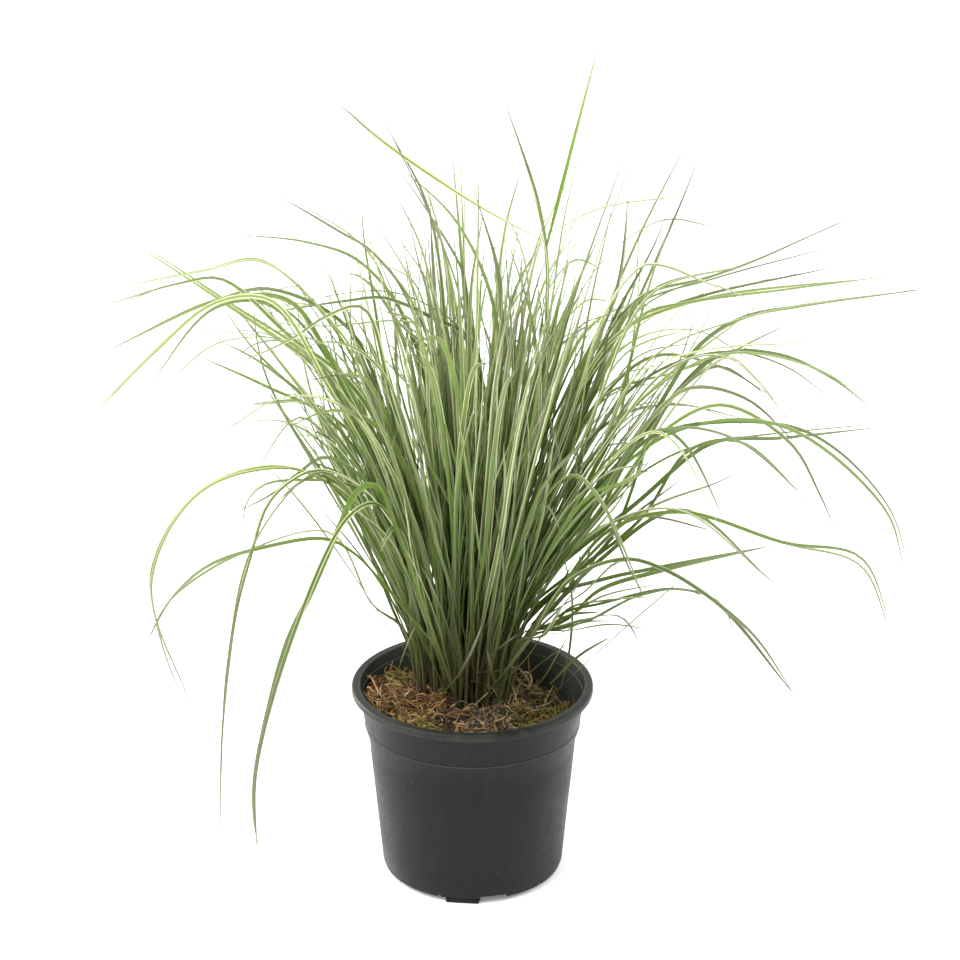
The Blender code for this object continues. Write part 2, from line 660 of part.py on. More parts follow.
def main():
    """Build the whole object."""
    clear_scene()
    home = collection("potted_grass_clump")
    cutters = collection("cutters_and_guides")
    plastic = material("pot plastic", (0.055, 0.058, 0.055), 0.55)
    earth = material("soil", (0.07, 0.045, 0.028), 0.95)
    blade = material("leaf", (0.20, 0.28, 0.10), 0.5)
    pot = make_pot(plastic, home, cutters)
    make_soil(earth, home)
    section = leaf_section(cutters)
    for number, shoot in enumerate(settle_leaves(), 1):
        make_shoot(f"shoot_{number:02d}", shoot["lines"], section, blade, home)
    pot.data.shade_smooth()


main()
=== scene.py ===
"""The looks of a potted clump of variegated reed grass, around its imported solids.

Metres, +Z up, and the front is -Y. The leaves follow the lines of the solid shoots in finer mesh, with many
more thin leaves on the same shoots. The soil gets its fibres, moss, bark and crumbs, and the pot its
mouldings.
"""
from math import atan2, cos, degrees, hypot, pi, radians, sin
from random import Random

import bmesh
import bpy
import numpy as np
from mathutils import Matrix, Vector, noise


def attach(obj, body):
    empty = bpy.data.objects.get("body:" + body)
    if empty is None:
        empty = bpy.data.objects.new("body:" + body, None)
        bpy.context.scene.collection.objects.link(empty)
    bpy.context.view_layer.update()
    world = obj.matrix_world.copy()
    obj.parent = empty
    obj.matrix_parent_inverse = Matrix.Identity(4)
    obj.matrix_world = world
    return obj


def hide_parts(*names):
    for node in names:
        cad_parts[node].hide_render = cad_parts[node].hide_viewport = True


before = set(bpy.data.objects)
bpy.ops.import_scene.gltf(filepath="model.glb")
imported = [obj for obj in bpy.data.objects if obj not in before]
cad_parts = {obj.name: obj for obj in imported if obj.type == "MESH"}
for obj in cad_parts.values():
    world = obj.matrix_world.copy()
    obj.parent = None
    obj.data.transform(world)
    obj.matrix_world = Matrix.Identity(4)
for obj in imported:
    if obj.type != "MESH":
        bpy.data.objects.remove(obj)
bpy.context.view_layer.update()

MM = 0.001
UP = np.array((0.0, 0.0, 1.0))
NEXT_TO_NOTHING = 1e-9

# The camera, as the rim's and the foot's ellipses in the photo place it
PHOTO_SIZE = 960
FOCAL_PIXELS = 3270
SENSOR = 36.0
CAMERA_PLACE = Vector((0.006, -2.349, 1.288))
CAMERA_PITCH = 22.1
CAMERA_REACH = 20

# Pot: the same driving sizes as the solid one
POT_HEIGHT = 0.161
RIM_RADIUS = 0.0961
RIM_OPENING = 0.0891
RIM_BAND = 0.0062
COLLAR_TOP_RADIUS = 0.0900
COLLAR_STEP_DEPTH = 0.033
COLLAR_STEP_RADIUS = 0.0858
COLLAR_STEP = 0.0005
COLLAR_DEPTH = 0.052
COLLAR_BASE_RADIUS = 0.0820
WALL_BASE_RADIUS = 0.0725
WALL = 0.0014
FLOOR_THICKNESS = 0.002
FLOOR_HEIGHT = 0.0075
RING_HEIGHT = 0.003
RING_WIDTH = 0.006
RING_RADIUS = 0.0716
FOOT_OFFSET = -20.5
FOOT_SIZE = (0.0052, 0.027, 0.004)
ARCH_AZIMUTH = -76
ARCH_WIDTH = 0.022
ARCH_HEIGHT = 0.0066
NOTCH_AZIMUTHS = (-142, -112, -40, 8, 80, 128)
NOTCH_WIDTH = 0.0035
NOTCH_HEIGHT = 0.0058
DRAIN_WIDTH = 0.014
DRAIN_DEPTH = 0.010
DRAIN_SET_IN = 0.001
CUT_THROUGH_RING = 0.03
CUT_THROUGH_FLOOR = 0.012

# Mouldings that only the looks show
POT_TURN_STEPS = 144
LIP_ROUND = 0.0009
BEAD_ROUND = 0.0024
BEAD_UNDER_ROUND = 0.0010
UNDER_RIM_FILLET = 0.0012
LIP_DEPTH = 2.5 * LIP_ROUND
LIP_LEAN = 0.0002
BAND_HOLLOW = (0.0022, 0.0006)
INSIDE_LEDGE_DEPTH = 0.0085
INSIDE_LEDGE = 0.0007
INSIDE_LEDGE_SLOPE = 0.0006
INSIDE_STEP = (0.0003, 0.0008)
STEP_BEAD = 0.0005
BASE_ROUND = 0.0022
GAP_ROUND = 0.0009
DRAIN_ROUND = 0.0012
FOOT_ROUND = 0.0015
POT_SHARP_ANGLE = 38
SAME_PLACE = 0.00001

# How many points each round corner of the half section has
FLOOR_CORNER_POINTS = 5
LIP_POINTS = 5
BEAD_POINTS = 7
UNDER_RIM_POINTS = 4
BASE_CORNER_POINTS = 6

# Points of the outside near the collar's step and near its foot, as how far they are out and up from there
STEP_OUTLINE = (
    (0.0003, 0.0022), (0.0001, 0.0013), (STEP_BEAD, 0.0001), (STEP_BEAD, -0.0003),
    (-COLLAR_STEP, -0.0030), (-0.0009, -0.0050),
)
COLLAR_FOOT_OUTLINE = ((0.00035, 0.006), (-0.0002, -0.003), (-0.0009, -0.011))

# Soil: the same crown and edge as the solid one
CROWN_CENTRE = Vector((-0.007, 0.020, 0))
CROWN_RADII = (0.043, 0.037)
CROWN_HEIGHT = 0.143
ROOT_DEPTH = 0.004
ROOT_SPREAD = 0.84
SOIL_LEVEL = 0.138
SOIL_TILT = 0.010
SOIL_HIGH_SIDE = 205
SOIL_LUMPS = ((5, 0.0022, 1), (9, 0.0016, 2))
SHOULDER = 0.022
SOIL_GRID = 110
SOIL_WALL_GAP = 0.0004
LUMP_SIZES = ((0.020, 0.0042), (0.0085, 0.0026), (0.0035, 0.0012))

# Leaf lines: the same as those of the solid shoots
FAN_AXIS = Vector((0, 0.020, 0.005))
WAIST_RISE = 0.062
WAIST_SHARE = 0.42
LEAF_STRETCH = 0.080
TWIN_STRETCH = 0.125
LEAF_CLEARANCE = 0.0062
TIP_CLEARANCE_SHARE = 0.45
MARK_SPACING = 0.004
FEWEST_MARKS = 8
FEWEST_BENDS = 4
SPAN_SAMPLES = 24
TURNS_TRIED = (0, 1.5, -1.5, 3, -3, 4.5, -4.5, 6, -6, 8, -8, 10, -10, 13, -13, 17, -17, 21, -21)
TWIN_FORK = (0.16, 0.42)
TWIN_TURN = (13, 30)
TWIN_SHRINK = (0.6, 0.9)
TWIN_DROP = 0.020
TWIN_MARKS = 30
TWINS_PER_SHOOT = 1
TWIN_TRIES = 10
SEED = 11

# Colours as shares of light given back, and how rough each finish is
LEAF_ROUGHNESS = 0.42
LEAF_DARK = (0.068, 0.150, 0.024)
LEAF_GREEN = (0.215, 0.350, 0.045)
LEAF_BRIGHT = (0.430, 0.520, 0.090)
LEAF_CREAM = (0.850, 0.880, 0.390)
LEAF_CREAM_PALE = (0.950, 0.940, 0.720)
LEAF_STRIPE = (0.610, 0.690, 0.200)
LEAF_DRY = (0.150, 0.140, 0.100)
# Painted shadow on some whole leaves
LEAF_PAINTED_SHADOW = (0.130, 0.140, 0.075)
LEAF_PALE_END = (0.420, 0.425, 0.350)
LEAF_THROUGH = (0.450, 0.550, 0.195)
LEAF_LIGHT_THROUGH = 0.34
# Painted shade for the leaves lower in the clump
LEAF_SHADED = (0.052, 0.078, 0.014)
SHEATH_OLIVE = (0.120, 0.135, 0.045)
SHEATH_BROWN = (0.100, 0.062, 0.045)
POT_DARK = (0.0026, 0.0030, 0.0025)
POT_GREY = (0.0052, 0.0058, 0.0050)
POT_SCUFF = (0.0105, 0.0112, 0.0098)
# Painted light on the inward faces of the plastic
POT_INSIDE_LIGHT = (0.034, 0.038, 0.031)
POT_SHINE = 0.185
# Dust, and the painted highlights along the collar's step and the crease's ridge
POT_DUST_AND_HIGHLIGHT = (0.110, 0.105, 0.090)
POT_SOILED = (0.020, 0.019, 0.016)
# Painted shade in the collar's crease
POT_CREASE_SHADE = (0.002, 0.002, 0.002)
SOIL_ROUGHNESS = 0.92
# Dark soil, and painted shade in the hollows between the lumps
SOIL_DARK_AND_SHADE = (0.012, 0.009, 0.005)
SOIL_BROWN = (0.042, 0.026, 0.013)
SOIL_FIBRE = (0.170, 0.115, 0.058)
SOIL_GREENISH = (0.060, 0.062, 0.022)
SOIL_PALE = (0.320, 0.290, 0.210)
COIR_DARK = (0.065, 0.030, 0.010)
COIR_LIGHT = (0.460, 0.250, 0.080)
COIR_ODD = (0.520, 0.370, 0.170)
MOSS_DARK = (0.110, 0.120, 0.014)
MOSS_LIGHT = (0.440, 0.420, 0.050)
MOSS_ODD = (0.400, 0.340, 0.100)
STRAW_DARK = (0.160, 0.110, 0.055)
STRAW_LIGHT = (0.420, 0.340, 0.190)
STRAW_ODD = (0.090, 0.055, 0.030)
CRUMB_DARK = (0.010, 0.008, 0.005)
CRUMB_LIGHT = (0.090, 0.062, 0.034)
CRUMB_ODD = (0.260, 0.230, 0.160)
BARK_DARK = (0.034, 0.014, 0.008)
BARK_LIGHT = (0.180, 0.080, 0.044)
BARK_ODD = (0.420, 0.290, 0.190)
PIECE_SHADED = (0.012, 0.010, 0.007)

# Patterns of the finishes. A noise is its repeats a metre, then its detail and roughness. On a blade it is
# its repeats across and along it, and how far apart it starts on two leaves. A range is where something
# starts and ends, then how much of it there is at either end.
LEAF_PATCHES = (28, 2)
LEAF_GRAIN = (6, 5, 40)
LEAF_STRIPES = (13, 1.5, 23)
GREEN_RANGE = (0.1, 0.9)
BRIGHT_RANGE = (0.5, 0.8, 0, 0.55)
CREAM_WAVER = 0.30
CREAM_WIDTH = (0.1, 1.0, 0.08, 0.62)
CREAM_LOST_LOW = 0.38
CREAM_RANGE = (0.93, 1.06)
STRIPE_RANGE = (0.56, 0.72, 0, 0.30)
SHADED_RANGE = (0.15, 0.47, 0.70, 0)
SHEATH_BROWN_RANGE = (0.28, 0.56)
SHEATH_RANGE = (0.155, 0.270, 1, 0)
SHEATH_COVER = 0.85
STEM_COVER = 0.45
PAINTED_SHADOW_RANGE = (0.84, 1.06, 0, 0.75)
PALE_END_RANGE = (0.48, 0.90, 0, 0.32)
DRY_TIP_RANGE = (0.88, 1.10, 0, 0.9)
POT_CLOUD = (22, 4, 0.6)
POT_GRAIN = (260, 3, 0.6)
POT_STREAKS = (90, 3, 0.6)
STREAK_STRETCH = (1, 1, 0.22)
POT_GREY_RANGE = (0.3, 0.7)
SCUFF_RANGE = (0.52, 0.75, 0, 0.5)
INSIDE_LIGHT_RANGE = (-0.02, 0.0, 1, 0)
STEP_HIGHLIGHT = (0.0001, 0.0007, 0.30, 0)
RIM_DUST_DEPTHS = (0.009, 0.004)
RIM_DUST = (0.45, 0.90, 0.04, 0.30)
SPECK_SCALE = 170
SPECK_RANGE = (0.0, 0.12, 1, 0)
SPECK_PATCHES = (31, 1)
SPECK_PATCH_RANGE = (0.60, 0.64)
SPECK_COVER = 0.8
BASE_DUST = (0.004, 0.024, 0.35, 0)
CREASE = ((-155, 0.1430), (-146, 0.1165))
CREASE_START = (-0.05, 0.1)
CREASE_END = (0.9, 1.05, 1, 0)
CREASE_HALF_WIDTH = 0.0014
CREASE_SHADE_COVER = 0.85
CREASE_LIP = 0.0028
CREASE_LIP_HIGHLIGHT = 0.22
POT_ROUGHNESS = (0.3, 0.7, 0.34, 0.52)
POT_RELIEF = (0.0002, 0.5)
SOIL_CLODS = (120, 5, 0.65)
SOIL_GRAIN = (620, 4, 0.6)
SOIL_PATCHES = (34, 2)
BROWN_RANGE = (0.35, 0.68)
FIBRE_RANGE = (0.55, 0.75, 0, 0.7)
GREENISH_RANGE = (0.52, 0.68, 0, 0.6)
SOIL_SPECK_SCALE = 420
SOIL_SPECK_RANGE = (0.10, 0.16, 1, 0)
SOIL_SPECK_PLACES = (0.5, 0.6, 0, 0.8)
SOIL_RELIEF = (0.0035, 0.9)
ODD_PIECES = (0.78, 0.9)
PIECE_MOTTLE = (500, 2)
MOTTLE_RANGE = (0.35, 0.7, 0.45, 0)

# Fibres and small pieces on the soil. A strand's form is its least and greatest length and thickness, how
# much it curls and how fast it droops, in degrees a step.
SOIL_REACH = COLLAR_BASE_RADIUS + 0.002
STRAND_STEP = 0.004
FEWEST_STRAND_POINTS = 4
STRAND_WANDER = (0.8, 9)
STRAND_LIFT = 12
STRAND_TAPER = 0.75
STRAND_CORNERS = np.radians((90, 210, 330))
COIR_STRANDS = 1350
COIR_HEAP_AZIMUTH = 198
COIR_HEAP_SPREAD = 62
COIR_HEAP_HEIGHT = 0.013
COIR_ELSEWHERE = 0.085
COIR_SPREAD = (0.25, 1.0)
COIR_OFF_CROWN = 0.7
COIR_PATCHES = (0.8, 0.4, 70)
COIR_RISE = (8, 22)
COIR_FORM = ((0.007, 0.026), (0.0008, 0.0024), 26, 5)
MOSS_TUFTS = (
    (-150, 0.071, 0.007, 300), (-136, 0.069, 0.006, 300), (-122, 0.071, 0.006, 180), (-14, 0.040, 0.006, 120),
    (-32, 0.056, 0.005, 120), (34, 0.066, 0.009, 200), (150, 0.066, 0.008, 200), (-4, 0.068, 0.008, 150),
)
MOSS_RISE = (15, 70)
MOSS_DEPTH = 0.003
MOSS_FORM = ((0.003, 0.009), (0.0004, 0.0010), 14, 9)
STRAW_BITS = 90
STRAW_RISE = (4, 10)
STRAW_ABOVE = (0.001, 0.004)
STRAW_FORM = ((0.012, 0.045), (0.0007, 0.0016), 6, 3)
STRAW_SPREAD = (0.1, 0.95)
CRUMB_LONG = (0.8, 1.7)
CRUMB_BROAD = (0.6, 1.1)
CRUMB_LEAN = 0.45
CRUMB_ROUGH = 0.3
CRUMB_REST = 0.2
CRUMB_SPREAD = (0.15, 1.0)
CRUMBS_OFF_CROWN = 0.5
CRUMBS = 1800
CRUMB_SIZE = (0.0008, 0.0034)
CRUMB_FLATNESS = 0.8
BARK_CHIPS = 130
BARK_SIZE = (0.003, 0.009)
BARK_FLATNESS = 0.35
BARK_AZIMUTH = -52
BARK_SPREAD = 50

# Studio
WORLD_FRONT = (0.80, 0.80, 0.80)
WORLD_BACK = (1.15, 1.15, 1.15)
WORLD_TOP = (1.35, 1.35, 1.35)
WORLD_BACK_RANGE = (-0.9, 0.1)
WORLD_TOP_RANGE = (0.2, 0.8)
PAPER = (1.0, 1.0, 1.0)
PAPER_ROUGHNESS = 0.9
PAPER_GLOW = 0.12
FLOOR_SIZE = 3.0

# Each light's name, place, target, size and power
LIGHTS = (
    ("key_light", (-1.7, -0.9, 2.2), (0.0, 0.0, 0.25), 2.2, 66),
    ("side_light", (2.2, 0.2, 1.3), (0.0, 0.0, 0.2), 1.2, 25),
    ("back_light", (-2.3, 1.3, 0.6), (0.0, 0.0, 0.1), 1.0, 62),
)

# Leaves that the photo shows outside the clump, as the width in millimetres, the tip's depth behind the pot's
# axis in millimetres, and the pixels that the leaf passes from its foot to its tip
TRACED_ROOT_OUT = 30
TRACED_SPLAY = 0.5
TRACED_START_SHARE = 0.45
TRACED_STEM = 0.0022
TRACED_STEM_SHARE = 0.12
TRACED_FACING = (50, 24)
TRACED_TWIST = 0.55
TRACED_LEAVES = {
    "left": (
        (3.8, 60, (372, 430), (330, 378), (220, 300), (130, 241)),
        (3.6, -40, (385, 440), (345, 378), (292, 338), (222, 279), (180, 283), (97, 308)),
        (3.4, 20, (378, 400), (330, 320), (262, 262), (200, 272), (100, 291)),
        (4.1, -60, (372, 440), (325, 350), (287, 300), (220, 300), (110, 349)),
        (3.8, -90, (375, 470), (330, 390), (270, 300), (215, 303), (155, 352), (88, 422)),
        (3.1, 90, (380, 470), (325, 370), (270, 305), (215, 308), (145, 391)),
        (3.6, -50, (420, 500), (392, 400), (362, 307), (325, 317), (293, 338), (232, 366)),
        (3.8, 50, (400, 560), (345, 470), (310, 405), (245, 404)),
        (3.4, -80, (398, 590), (360, 520), (320, 470), (270, 394)),
        (2.9, -60, (385, 540), (340, 450), (287, 423), (262, 450), (247, 485)),
        (2.8, -100, (420, 600), (352, 500), (291, 468), (250, 469), (205, 488), (170, 526), (151, 574),
         (153, 605), (170, 668), (195, 718)),
        (3.6, -110, (425, 590), (365, 490), (318, 470), (290, 482), (268, 505), (250, 560), (237, 610),
         (229, 665), (222, 740), (220, 837)),
        (3.0, -70, (425, 570), (362, 478), (325, 457), (297, 474), (272, 494), (237, 512)),
        (2.6, -40, (420, 580), (360, 490), (300, 480), (262, 486), (246, 505), (243, 535), (247, 568)),
        (3.4, -90, (440, 655), (411, 617), (379, 579), (352, 552), (325, 539), (262, 548), (208, 566),
         (172, 598), (147, 643)),
        (4.2, -120, (428, 620), (398, 535), (374, 484), (356, 492), (340, 525), (312, 590), (288, 640),
         (268, 710), (254, 780), (254, 820), (259, 850)),
        (3.1, 80, (425, 330), (372, 252), (340, 232), (276, 194)),
        (2.6, 110, (410, 330), (360, 262), (310, 243), (232, 234)),
        (3.4, 60, (470, 420), (425, 328), (320, 326), (215, 319)),
        (3.1, 40, (490, 440), (465, 335), (437, 320), (385, 298), (345, 301), (262, 314)),
        (2.6, -30, (370, 470), (300, 350), (255, 335), (188, 332)),
    ),
    "top": (
        (3.3, 90, (445, 430), (430, 330), (412, 280), (375, 262)),
        (3.3, 40, (470, 450), (445, 365), (398, 322), (362, 268)),
        (3.5, 20, (420, 500), (375, 400), (340, 298), (323, 260)),
        (3.3, -40, (380, 500), (315, 408), (290, 375), (240, 312)),
        (3.7, 30, (475, 380), (458, 290), (430, 215), (386, 124)),
        (3.3, 60, (500, 390), (492, 300), (455, 220), (393, 161)),
        (2.9, 70, (478, 390), (467, 300), (463, 272), (425, 207), (392, 160)),
        (3.1, 10, (450, 400), (434, 290), (430, 197)),
        (2.6, -20, (440, 350), (416, 252), (408, 212)),
        (3.3, -10, (470, 400), (471, 290), (483, 215)),
        (3.5, 50, (510, 420), (503, 320), (499, 270), (473, 188)),
        (2.9, 80, (530, 330), (515, 232), (475, 184)),
        (3.7, 30, (545, 400), (548, 290), (547, 258), (530, 180), (505, 103)),
        (3.5, -30, (520, 410), (560, 320), (580, 278), (602, 231)),
        (2.9, 60, (540, 380), (585, 285), (608, 253)),
        (3.1, 40, (580, 380), (618, 290), (630, 192)),
        (2.6, 80, (575, 330), (613, 210), (636, 153)),
        (2.6, 100, (620, 340), (680, 205), (698, 160)),
        (3.3, -20, (590, 480), (620, 400), (648, 290), (672, 220)),
        (3.0, 50, (615, 430), (634, 335), (639, 283), (643, 228)),
        (3.3, 20, (520, 470), (545, 350), (565, 215), (583, 138)),
    ),
    "right": (
        (3.2, -70, (650, 420), (700, 345), (742, 318), (800, 306), (926, 289)),
        (3.8, -20, (590, 430), (612, 355), (643, 315), (687, 303), (784, 290), (891, 276)),
        (3.5, 80, (630, 380), (680, 310), (720, 285), (783, 277), (850, 254)),
        (4.2, 30, (575, 430), (602, 345), (643, 296), (704, 279), (752, 262), (806, 238), (847, 219)),
        (3.2, 60, (590, 380), (650, 292), (740, 266)),
        (4.6, -40, (580, 390), (602, 320), (625, 282), (645, 265), (668, 267), (704, 282), (741, 296),
         (760, 320)),
        (3.5, 20, (620, 470), (680, 390), (728, 355), (790, 323)),
        (3.8, 10, (610, 480), (670, 400), (720, 355), (780, 355), (830, 377), (875, 411)),
        (3.2, -30, (620, 490), (680, 400), (728, 357), (755, 377), (793, 427)),
        (3.5, -60, (600, 500), (650, 420), (690, 388), (745, 398), (800, 447)),
        (2.8, -10, (620, 490), (678, 392), (719, 366), (752, 384), (771, 401)),
        (3.8, 50, (560, 510), (590, 440), (630, 412), (680, 405), (745, 419)),
        (4.0, -70, (610, 500), (665, 430), (722, 405), (790, 443), (820, 495), (836, 531)),
        (2.8, -90, (600, 510), (640, 445), (690, 425), (790, 426), (840, 452), (890, 509), (909, 565)),
        (2.9, -50, (560, 590), (610, 530), (680, 512), (785, 543), (860, 557), (893, 633)),
        (2.8, 20, (545, 600), (600, 580), (660, 567), (776, 545)),
        (3.2, -80, (530, 640), (570, 580), (625, 559), (665, 570), (710, 598), (755, 637), (795, 696)),
        (3.2, -60, (525, 660), (560, 615), (600, 604), (675, 589), (720, 603), (738, 647)),
        (3.0, 60, (600, 560), (680, 510), (773, 582)),
        (3.2, 70, (640, 500), (712, 443), (780, 438), (882, 427)),
        (3.0, 30, (640, 520), (690, 450), (740, 442), (811, 504)),
        (3.2, -20, (610, 540), (660, 430), (685, 445), (725, 521)),
    ),
}

# Blades that lie or stand loose in front of the clump, in the same way
LOOSE_BLADES = (
    (2.0, -50, (437, 706), (440, 697), (457, 678), (470, 655), (482, 625)),
    (1.6, -20, (388, 690), (397, 672), (409, 640), (416, 625)),
    (2.0, -10, (557, 690), (600, 650), (692, 570)),
    (1.8, -20, (550, 684), (580, 655), (612, 636)),
    (1.6, 20, (560, 690), (568, 660), (572, 600), (561, 545)),
    (5.4, -22, (459, 706), (461, 684), (459, 650), (453, 610), (446, 560)),
    (1.8, -34, (497, 697), (493, 676), (487, 650)),
    (1.6, -30, (489, 658), (503, 645), (518, 634)),
    (1.1, -24, (471, 673), (498, 671), (514, 667), (523, 671), (529, 682)),
    (1.3, -34, (470, 681), (483, 684), (494, 690), (497, 696)),
    (1.6, -34, (449, 688), (443, 672), (436, 648), (430, 628)),
    (1.2, -30, (528, 696), (545, 676), (560, 650), (570, 634)),
    (1.2, 10, (515, 690), (535, 668), (552, 655), (572, 640)),
    (2.4, -60, (540, 560), (575, 475), (600, 500), (625, 560), (643, 596)),
)

# Each shoot is its root's azimuth and distance from the crown's centre, then its leaves.
# Each leaf is the azimuth of its upright plane through the fan's axis, then the points it bends through,
# as distance out from the axis and height above the ground. Degrees and millimetres, 0 is +X and 90 is +Y.
OUTER_SHOOTS = (
    ((2, 43), (-2, (85, 330), (121, 382), (160, 387), (235, 360)),
     (-6, (110, 310), (150, 345), (187, 360), (319, 382))),
    ((-13, 44), (-12, (95, 285), (164, 308), (247, 289), (305, 276), (331, 221)),
     (-15, (90, 235), (124, 267), (192, 242), (261, 167))),
    ((-27, 43), (-25, (80, 215), (109, 247), (159, 273), (253, 312)),
     (-30, (110, 300), (181, 333), (260, 291))),
    ((-41, 41), (-32, (105, 225), (152, 258), (200, 272), (238, 236)),
     (-38, (130, 370), (190, 410), (248, 413), (311, 380)),
     (-42, (120, 350), (182, 409), (205, 402), (243, 352))),
    ((-56, 38), (-50, (85, 330), (120, 362), (149, 351), (198, 290)),
     (-60, (80, 330), (120, 430), (160, 520))),
    ((-71, 36), (-68, (70, 330), (112, 440), (150, 535)),
     (-74, (75, 300), (118, 400), (165, 480))),
    ((-87, 36), (-88, (62, 340), (105, 455), (170, 540), (291, 578)),
     (-82, (70, 290), (112, 380), (165, 455), (235, 500))),
    ((-103, 36), (-104, (68, 330), (110, 430), (165, 505), (250, 545)),
     (-98, (60, 330), (88, 430), (118, 520))),
    ((-118, 37), (-120, (72, 320), (118, 420), (170, 500)),
     (-114, (68, 300), (105, 390), (150, 470))),
    ((-132, 39), (-130, (85, 300), (115, 338), (148, 334), (207, 261), (250, 166), (252, 98)),
     (-136, (80, 320), (125, 410), (190, 440), (260, 425))),
    ((-147, 42), (-142, (105, 320), (147, 364), (205, 323), (232, 237), (246, 88)),
     (-148, (100, 320), (158, 364), (238, 362), (280, 301), (248, 179))),
    ((-159, 43), (-155, (112, 360), (145, 397), (187, 349)),
     (-160, (95, 285), (162, 414))),
    ((-171, 44), (-168, (110, 360), (133, 404), (187, 440)),
     (-171, (80, 220), (113, 284), (184, 270), (238, 236), (258, 202))),
    ((178, 44), (-172, (99, 337), (117, 388), (176, 393)), (-177, (98, 340), (121, 385), (178, 462))),
    ((166, 43), (176, (95, 370), (133, 426), (168, 440), (220, 438)),
     (162, (90, 300), (150, 350), (220, 340))),
    ((150, 42), (148, (95, 330), (160, 400), (240, 390), (300, 340)),
     (140, (85, 300), (140, 350), (200, 345))),
    ((133, 39), (130, (85, 330), (140, 410), (210, 425), (290, 395)),
     (137, (80, 310), (120, 390), (165, 410))),
    ((116, 37), (118, (80, 330), (130, 410), (200, 430), (270, 400)),
     (112, (75, 290), (120, 350), (170, 355))),
    ((100, 36), (98, (70, 340), (120, 430), (190, 460), (252, 452)),
     (104, (70, 300), (110, 380), (150, 400))),
    ((84, 36), (82, (75, 330), (125, 400), (185, 405), (250, 360)),
     (88, (65, 320), (100, 430), (130, 490))),
    ((68, 37), (66, (80, 340), (130, 420), (200, 440), (270, 412)),
     (72, (75, 300), (120, 370), (165, 375))),
    ((52, 39), (50, (85, 330), (140, 405), (210, 410), (280, 370)),
     (56, (80, 320), (120, 410), (160, 430))),
    ((36, 41), (36, (90, 330), (150, 400), (220, 400), (290, 355)),
     (30, (80, 310), (130, 380), (180, 385))),
    ((19, 43), (21, (95, 310), (150, 360), (220, 350)),
     (14, (85, 320), (130, 410), (190, 420))),
)
MIDDLE_SHOOTS = (
    ((-5, 29), (-5, (75, 380), (112, 445), (174, 475), (318, 498)),
     (-9, (120, 400), (190, 438), (237, 431), (280, 403))),
    ((-27, 28), (-22, (100, 350), (144, 440), (216, 483), (349, 523)),
     (-24, (115, 340), (178, 393), (256, 405), (335, 352), (352, 306)),
     (-17, (120, 385), (196, 446), (270, 442), (315, 416))),
    ((-50, 26), (-30, (100, 380), (153, 500), (225, 534)),
     (-28, (120, 380), (170, 445), (214, 459), (268, 416)),
     (-52, (80, 380), (125, 480), (180, 510))),
    ((-75, 25), (-72, (60, 360), (95, 470), (140, 530)), (-80, (60, 330), (100, 440), (160, 520))),
    ((-100, 25), (-97, (55, 380), (80, 500), (110, 560)), (-105, (60, 350), (105, 450), (160, 490))),
    ((-125, 26), (-128, (65, 350), (115, 450), (175, 485), (230, 480)),
     (-120, (55, 370), (85, 480), (120, 530))),
    ((-150, 28), (-150, (75, 360), (120, 450), (180, 480)), (-142, (70, 340), (110, 430), (160, 440))),
    ((-174, 29), (-164, (90, 380), (150, 478), (200, 482), (255, 422)),
     (180, (95, 372), (118, 412), (158, 478))),
    ((165, 29), (172, (60, 330), (95, 440), (157, 471), (197, 461), (286, 415)),
     (168, (90, 350), (143, 428), (198, 472), (301, 440))),
    ((148, 28), (153, (80, 290), (122, 388), (217, 441), (296, 479)),
     (160, (75, 320), (110, 400), (171, 456), (220, 440), (341, 321))),
    ((125, 26), (149, (75, 330), (120, 415), (193, 468), (253, 450), (358, 414)),
     (138, (75, 400), (105, 480), (205, 513))),
    ((100, 25), (105, (55, 380), (90, 480), (150, 520)), (94, (60, 350), (110, 450), (175, 470))),
    ((70, 25), (75, (55, 380), (95, 490), (150, 530)), (61, (65, 350), (120, 450), (190, 480))),
    ((42, 27), (42, (70, 360), (125, 460), (200, 490), (270, 470)),
     (24, (90, 390), (140, 445), (207, 458), (319, 471))),
    ((18, 28), (8, (85, 370), (131, 456), (209, 487), (292, 521)),
     (26, (80, 340), (110, 400), (142, 455), (147, 507)),
     (4, (90, 370), (140, 420), (193, 410), (238, 382))),
)
INNER_SHOOTS = (
    ((10, 17), (10, (34, 290), (50, 375), (59, 474), (52, 540), (26, 622))),
    ((-30, 15), (-12, (45, 300), (75, 380), (112, 488), (120, 565)),
     (-18, (40, 330), (75, 470), (100, 530))),
    ((-75, 14), (-85, (25, 350), (45, 480), (60, 590)),
     (-68, (35, 340), (65, 470), (110, 520))),
    ((-120, 14), (-130, (35, 360), (65, 490), (110, 560)),
     (-112, (30, 350), (50, 450), (85, 520))),
    ((-165, 15), (178, (75, 388), (92, 437), (113, 500)),
     (174, (24, 360), (28, 470), (33, 548))),
    ((150, 15), (150, (20, 330), (37, 532), (76, 598)), (160, (22, 415), (60, 448), (90, 490)),
     (168, (25, 350), (33, 445), (48, 485), (68, 497), (97, 478))),
    ((110, 14), (98, (30, 380), (50, 500), (70, 570)),
     (118, (40, 360), (80, 480), (130, 520))),
    ((70, 14), (45, (40, 370), (75, 500), (120, 560)),
     (62, (35, 350), (60, 470), (90, 540))),
    ((38, 16), (18, (35, 320), (60, 400), (92, 490), (125, 580)),
     (15, (50, 330), (95, 420), (140, 520), (172, 580))),
)
CENTRE_SHOOTS = (
    ((180, 4), (180, (4, 400), (1, 478), (-8, 538)),
     (175, (3, 300), (6, 440), (26, 461), (66, 478), (160, 466))),
    ((-60, 6), (5, (20, 300), (24, 445), (20, 494), (1, 559)),
     (-40, (20, 330), (45, 470), (75, 560))),
    ((90, 7), (165, (-16, 320), (-16, 468), (13, 532), (62, 579)),
     (104, (12, 400), (34, 492), (64, 570))),
)
SHOOTS = OUTER_SHOOTS + MIDDLE_SHOOTS + INNER_SHOOTS + CENTRE_SHOOTS

